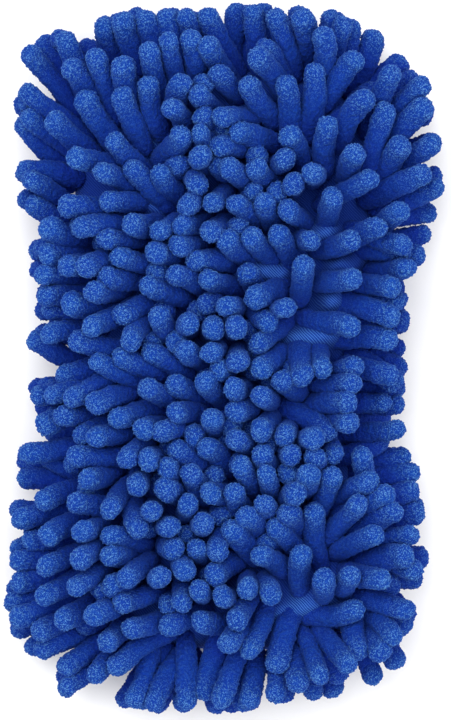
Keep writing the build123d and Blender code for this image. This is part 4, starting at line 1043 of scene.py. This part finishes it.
def hem_ring(ins, y, ribs=0.14):
    p, s = rounded_loop(hw - 2 * ins, hh - 2 * ins, max(hh / 2 - 0.4 * MM - ins, 1 * MM), HEM_N)
    t = np.roll(p, -1, 0) - np.roll(p, 1, 0)
    t /= np.linalg.norm(t, axis=1)[:, None]
    nrm = np.c_[t[:, 1], -t[:, 0]]
    p = p + nrm * (np.sin(2 * math.pi * np.arange(HEM_N) / HEM_N * HEM_RIBS) * ribs * MM)[:, None]
    return np.c_[p[:, 0], np.full(HEM_N, y), p[:, 1] + hz]


profile = []
for y in np.linspace(hy1, hy0 + 1.2 * MM, 9):
    dip = 0.35 * MM if abs(y - (hy1 - 2 * MM)) < 1.2 * MM else 0.0
    profile.append(hem_ring(0.1 * MM + dip, y))
for k in range(1, 8):
    th = math.pi * k / 8
    profile.append(hem_ring(1.3 * MM - 1.2 * MM * math.cos(th), hy0 + 1.2 * MM - 1.15 * MM * math.sin(th), 0.08))
for y in np.linspace(hy0 + 1.2 * MM, hy1, 9):
    profile.append(hem_ring(2.5 * MM, y))
profile.append(hem_ring(1.9 * MM, hy1))
for y in (hy1, hy0 + 3.0 * MM):
    profile.append(hem_ring(1.85 * MM, y, 0.0))
for y in (hy0 + 3.0 * MM, hy1):
    profile.append(hem_ring(0.75 * MM, y, 0.0))
rg = np.array(profile)
idx = np.arange(rg.shape[0] * rg.shape[1]).reshape(rg.shape[0], rg.shape[1])
a, b = idx, np.roll(idx, -1, 0)
turn_mm = np.arange(HEM_N) / HEM_N * HEM_RIBS * 1.33
hem = new_mesh(
    "mouth_hem_rib",
    rg.reshape(-1, 3),
    np.stack([a, np.roll(a, -1, 1), np.roll(b, -1, 1), b], -1).reshape(-1, 4).tolist(),
    attrs={"around": np.tile(turn_mm, rg.shape[0]), "fall": np.repeat(rg[:, 0, 1] / MM, HEM_N)},
)
give(hem, hem_mat)
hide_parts("mouth_hem")
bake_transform(hem)

elo, ehi = [np.array(v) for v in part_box("hem_elastic")]
ew, eh = ehi[0] - elo[0], ehi[2] - elo[2]
el = []
for ins, y in ((0.0, elo[1]), (0.0, ehi[1]), (0.7 * MM, ehi[1]), (0.7 * MM, elo[1])):
    p, s = rounded_loop(ew - 2 * ins, eh - 2 * ins, eh / 2 - 0.4 * MM - ins, 240)
    if ins == 0:
        y0 = y
    el.append(np.c_[p[:, 0], np.full(240, y), p[:, 1] + (elo[2] + ehi[2]) / 2])
el = np.array(el)
dense = []
for k in range(4):
    for f in (0, 0.25, 0.5, 0.75):
        ring = el[k] * (1 - f) + el[(k + 1) % 4] * f
        dense.append(ring)
el = np.array(dense)
idx = np.arange(el.shape[0] * el.shape[1]).reshape(el.shape[0], el.shape[1])
a, b = idx, np.roll(idx, -1, 0)
elastic = new_mesh("hem_elastic_ring", el.reshape(-1, 3), np.stack([a, np.roll(a, -1, 1), np.roll(b, -1, 1), b], -1).reshape(-1, 4).tolist())
give(elastic, elastic_mat)
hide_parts("hem_elastic")
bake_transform(elastic)


def stitch_rods(name, ends, r, seg=10, steps=7):
    """Plump little stitches, each a bowed twisted bead from one end to the other."""
    vs, fs = [], []
    for a, b, up in ends:
        a, b, up = np.array(a, float), np.array(b, float), np.array(up, float)
        w = b - a
        L = np.linalg.norm(w)
        w /= L
        side = np.cross(w, up)
        side /= np.linalg.norm(side)
        up = np.cross(side, w)
        base = len(vs)
        for k in range(steps):
            f = k / (steps - 1)
            rad = r * math.sqrt(max(1 - (2 * f - 1) ** 4, 0.02))
            c = a + w * L * f + up * (math.sin(math.pi * f) * r * 0.5)
            for j in range(seg):
                t = 2 * math.pi * j / seg
                rr = rad * (1 + 0.12 * math.sin(2 * t + 9 * f))
                vs.append(c + side * rr * math.cos(t) + up * rr * math.sin(t))
        for k in range(steps - 1):
            for j in range(seg):
                p, q = base + k * seg + j, base + k * seg + (j + 1) % seg
                fs.append((p, q, q + seg, p + seg))
        fs.append(tuple(base + j for j in reversed(range(seg))))
        fs.append(tuple(base + (steps - 1) * seg + j for j in range(seg)))
    o = new_mesh(name, vs, fs)
    give(o, thread_mat)
    return o


rods = []
for pts in islands(nodes["hem_stitches"]):
    a, b = axis_of(pts)
    up = (0, 0, 1 if a[2] > hz else -1)
    rods.append((a, b, up))
hem_st = stitch_rods("hem_topstitch", rods, 0.38 * MM)
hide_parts("hem_stitches")
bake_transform(hem_st)

rods = []
for pts in islands(nodes["perimeter_stitches"]):
    a, b = axis_of(pts)
    c = (a + b) / 2
    k = np.argmin(((OUT - c[:2]) ** 2).sum(1))
    rods.append((a, b, (*NORMAL[k], 0)))
per_st = stitch_rods("perimeter_topstitch", rods, 0.42 * MM)
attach(per_st, "back")
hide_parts("perimeter_stitches")


# --- back panel, binding and linings -------------------------------------------
def sheet(name, ins, z0, z1, seed, amp, cell, rings_n=26, edge_hold=True, thick_noise=0.0, flat_bottom=False):
    """A thin cloth sheet inside the outline, gently uneven on the free side."""
    edge = OUT - NORMAL * ins
    c = np.c_[np.zeros(len(OUT)), np.clip(OUT[:, 1], -0.08, 0.085) * 0.92]
    top, bot = [], []
    for k in range(rings_n + 1):
        f = 0.045 + 0.955 * (k / rings_n) ** 0.8
        p = c * (1 - f) + edge * f
        hold = min(1.0, (1 - f) * 12) if edge_hold else 1.0
        n = field_noise(p[:, 0], p[:, 1], cell, seed) * amp * hold
        top.append(np.c_[p, np.clip(z1 + n, z0 + 0.3 * MM, None)])
        bot.append(np.c_[p, np.full(len(p), z0) if flat_bottom else z0 + n])
    rg = np.array(bot + top[::-1])
    return strip(name, rg, cap_first=True, cap_last=True)


blo, bhi = [np.array(v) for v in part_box("back_panel")]
back_vis = sheet("back_panel_knit", 2.1 * MM, 0.0, bhi[2] - 0.12 * MM, 21, 0.05 * MM, 12 * MM, flat_bottom=True)
give(back_vis, back_mat)
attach(back_vis, "back")
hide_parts("back_panel")

llo, lhi = [np.array(v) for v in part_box("pocket_lining_back")]
lin_b = sheet("pocket_lining_back_cloth", 5.4 * MM, llo[2], llo[2] + 0.35 * MM, 31, 0.10 * MM, 14 * MM)
give(lin_b, lining_mat)
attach(lin_b, "back")
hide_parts("pocket_lining_back")

plo, phi = [np.array(v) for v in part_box("pocket_lining_palm")]
lin_p = sheet("pocket_lining_palm_cloth", 4.6 * MM, plo[2] + 0.1 * MM, plo[2] + 0.75 * MM, 33, 0.16 * MM, 16 * MM)
give(lin_p, lining_mat)
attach(lin_p, "palm")
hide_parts("pocket_lining_palm")

prof = []
for ins, z in ((1.9, 0.25), (1.1, 0.2), (0.6, 0.35), (0.32, 0.9), (0.3, 1.7), (0.34, 2.5), (0.7, 3.05), (1.2, 3.2), (1.8, 3.1), (2.3, 2.85), (3.4, 2.85), (4.7, 2.75), (4.75, 2.3), (3.4, 2.2), (1.95, 2.2), (1.9, 1.2)):
    p = OUT - NORMAL * ins * MM
    w = np.sin(np.arange(len(OUT)) * 2 * math.pi / 6.4) * 0.05 * MM if 0.2 < ins < 1.3 else 0
    p = p + NORMAL * (np.asarray(w)[:, None] if np.ndim(w) else 0)
    prof.append(np.c_[p, np.full(len(p), z * MM)])
rg = np.array(prof)
idx = np.arange(rg.shape[0] * rg.shape[1]).reshape(rg.shape[0], rg.shape[1])
a, b = idx, np.roll(idx, -1, 0)
bind = new_mesh("perimeter_binding_tape", rg.reshape(-1, 3), np.stack([a, np.roll(a, -1, 1), np.roll(b, -1, 1), b], -1).reshape(-1, 4).tolist())
give(bind, binding_mat)
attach(bind, "back")
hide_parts("perimeter_binding")

# --- carried-over CAD pieces with their own finish -----------------------------
for n, mt in (("loop_anchor_tape", webbing_mat), ("hang_loop", webbing_mat), ("loop_bar_tack", thread_mat), ("care_label", label_mat), ("label_stitches", thread_mat)):
    o = nodes[n]
    o.data.materials.clear()
    o.data.materials.append(mt)

# outward faces everywhere
for o in bpy.data.objects:
    if o.type == "MESH" and "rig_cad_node" not in o and o not in piles:
        import bmesh

        bm = bmesh.new()
        bm.from_mesh(o.data)
        bmesh.ops.recalc_face_normals(bm, faces=bm.faces)
        bm.to_mesh(o.data)
        bm.free()

# --------------------------------------------------------------------------
# stage, light and camera
# --------------------------------------------------------------------------
me = bpy.data.meshes.new("floor")
me.from_pydata([(-3, -3, -0.0003), (3, -3, -0.0003), (3, 3, -0.0003), (-3, 3, -0.0003)], [], [(0, 1, 2, 3)])
floor = bpy.data.objects.new("floor", me)
scene.collection.objects.link(floor)
ft = Tree("floor_paper")
fn = ft.noise(ft.coords(), 6.0, 2.0, 0.5)
ft.link(ft.mix(ft.range(fn, 0.3, 0.7), srgb(250, 250, 250), srgb(253, 253, 253)), ft.bsdf.inputs["Base Color"])
ft.bsdf.inputs["Roughness"].default_value = 0.9
give(floor, ft.mat)

world = bpy.data.worlds.new("studio")
scene.world = world
world.use_nodes = True
bg = world.node_tree.nodes["Background"]
bg.inputs["Color"].default_value = (1.0, 1.0, 1.0, 1.0)
bg.inputs["Strength"].default_value = 0.90


def area(name, loc, target, size, power, colour=(1, 1, 1)):
    d = bpy.data.lights.new(name, "AREA")
    d.shape = "DISK"
    d.size = size
    d.energy = power
    d.color = colour
    o = bpy.data.objects.new(name, d)
    o.location = loc
    way = Vector(target) - Vector(loc)
    o.rotation_euler = way.to_track_quat("-Z", "Y").to_euler()
    scene.collection.objects.link(o)
    return o


area("key", (-0.35, 0.45, 1.5), (0, 0, 0.03), 1.1, 15.0)
area("fill", (0.5, -0.35, 1.3), (0, 0, 0.03), 1.1, 7.0)

cam_data = bpy.data.cameras.new("camera")
cam = bpy.data.objects.new("camera", cam_data)
scene.collection.objects.link(cam)
scene.camera = cam
cam.location = (0.0, 0.0, CAM_H)
cam.rotation_euler = (0, 0, 0)
cam_data.sensor_fit = "VERTICAL"
cam_data.sensor_height = 24.0
cam_data.lens = 24.0 * (CAM_H - REF_Z) / (720 * 0.4 * MM)
cam_data.clip_start = 0.05
cam_data.clip_end = 20
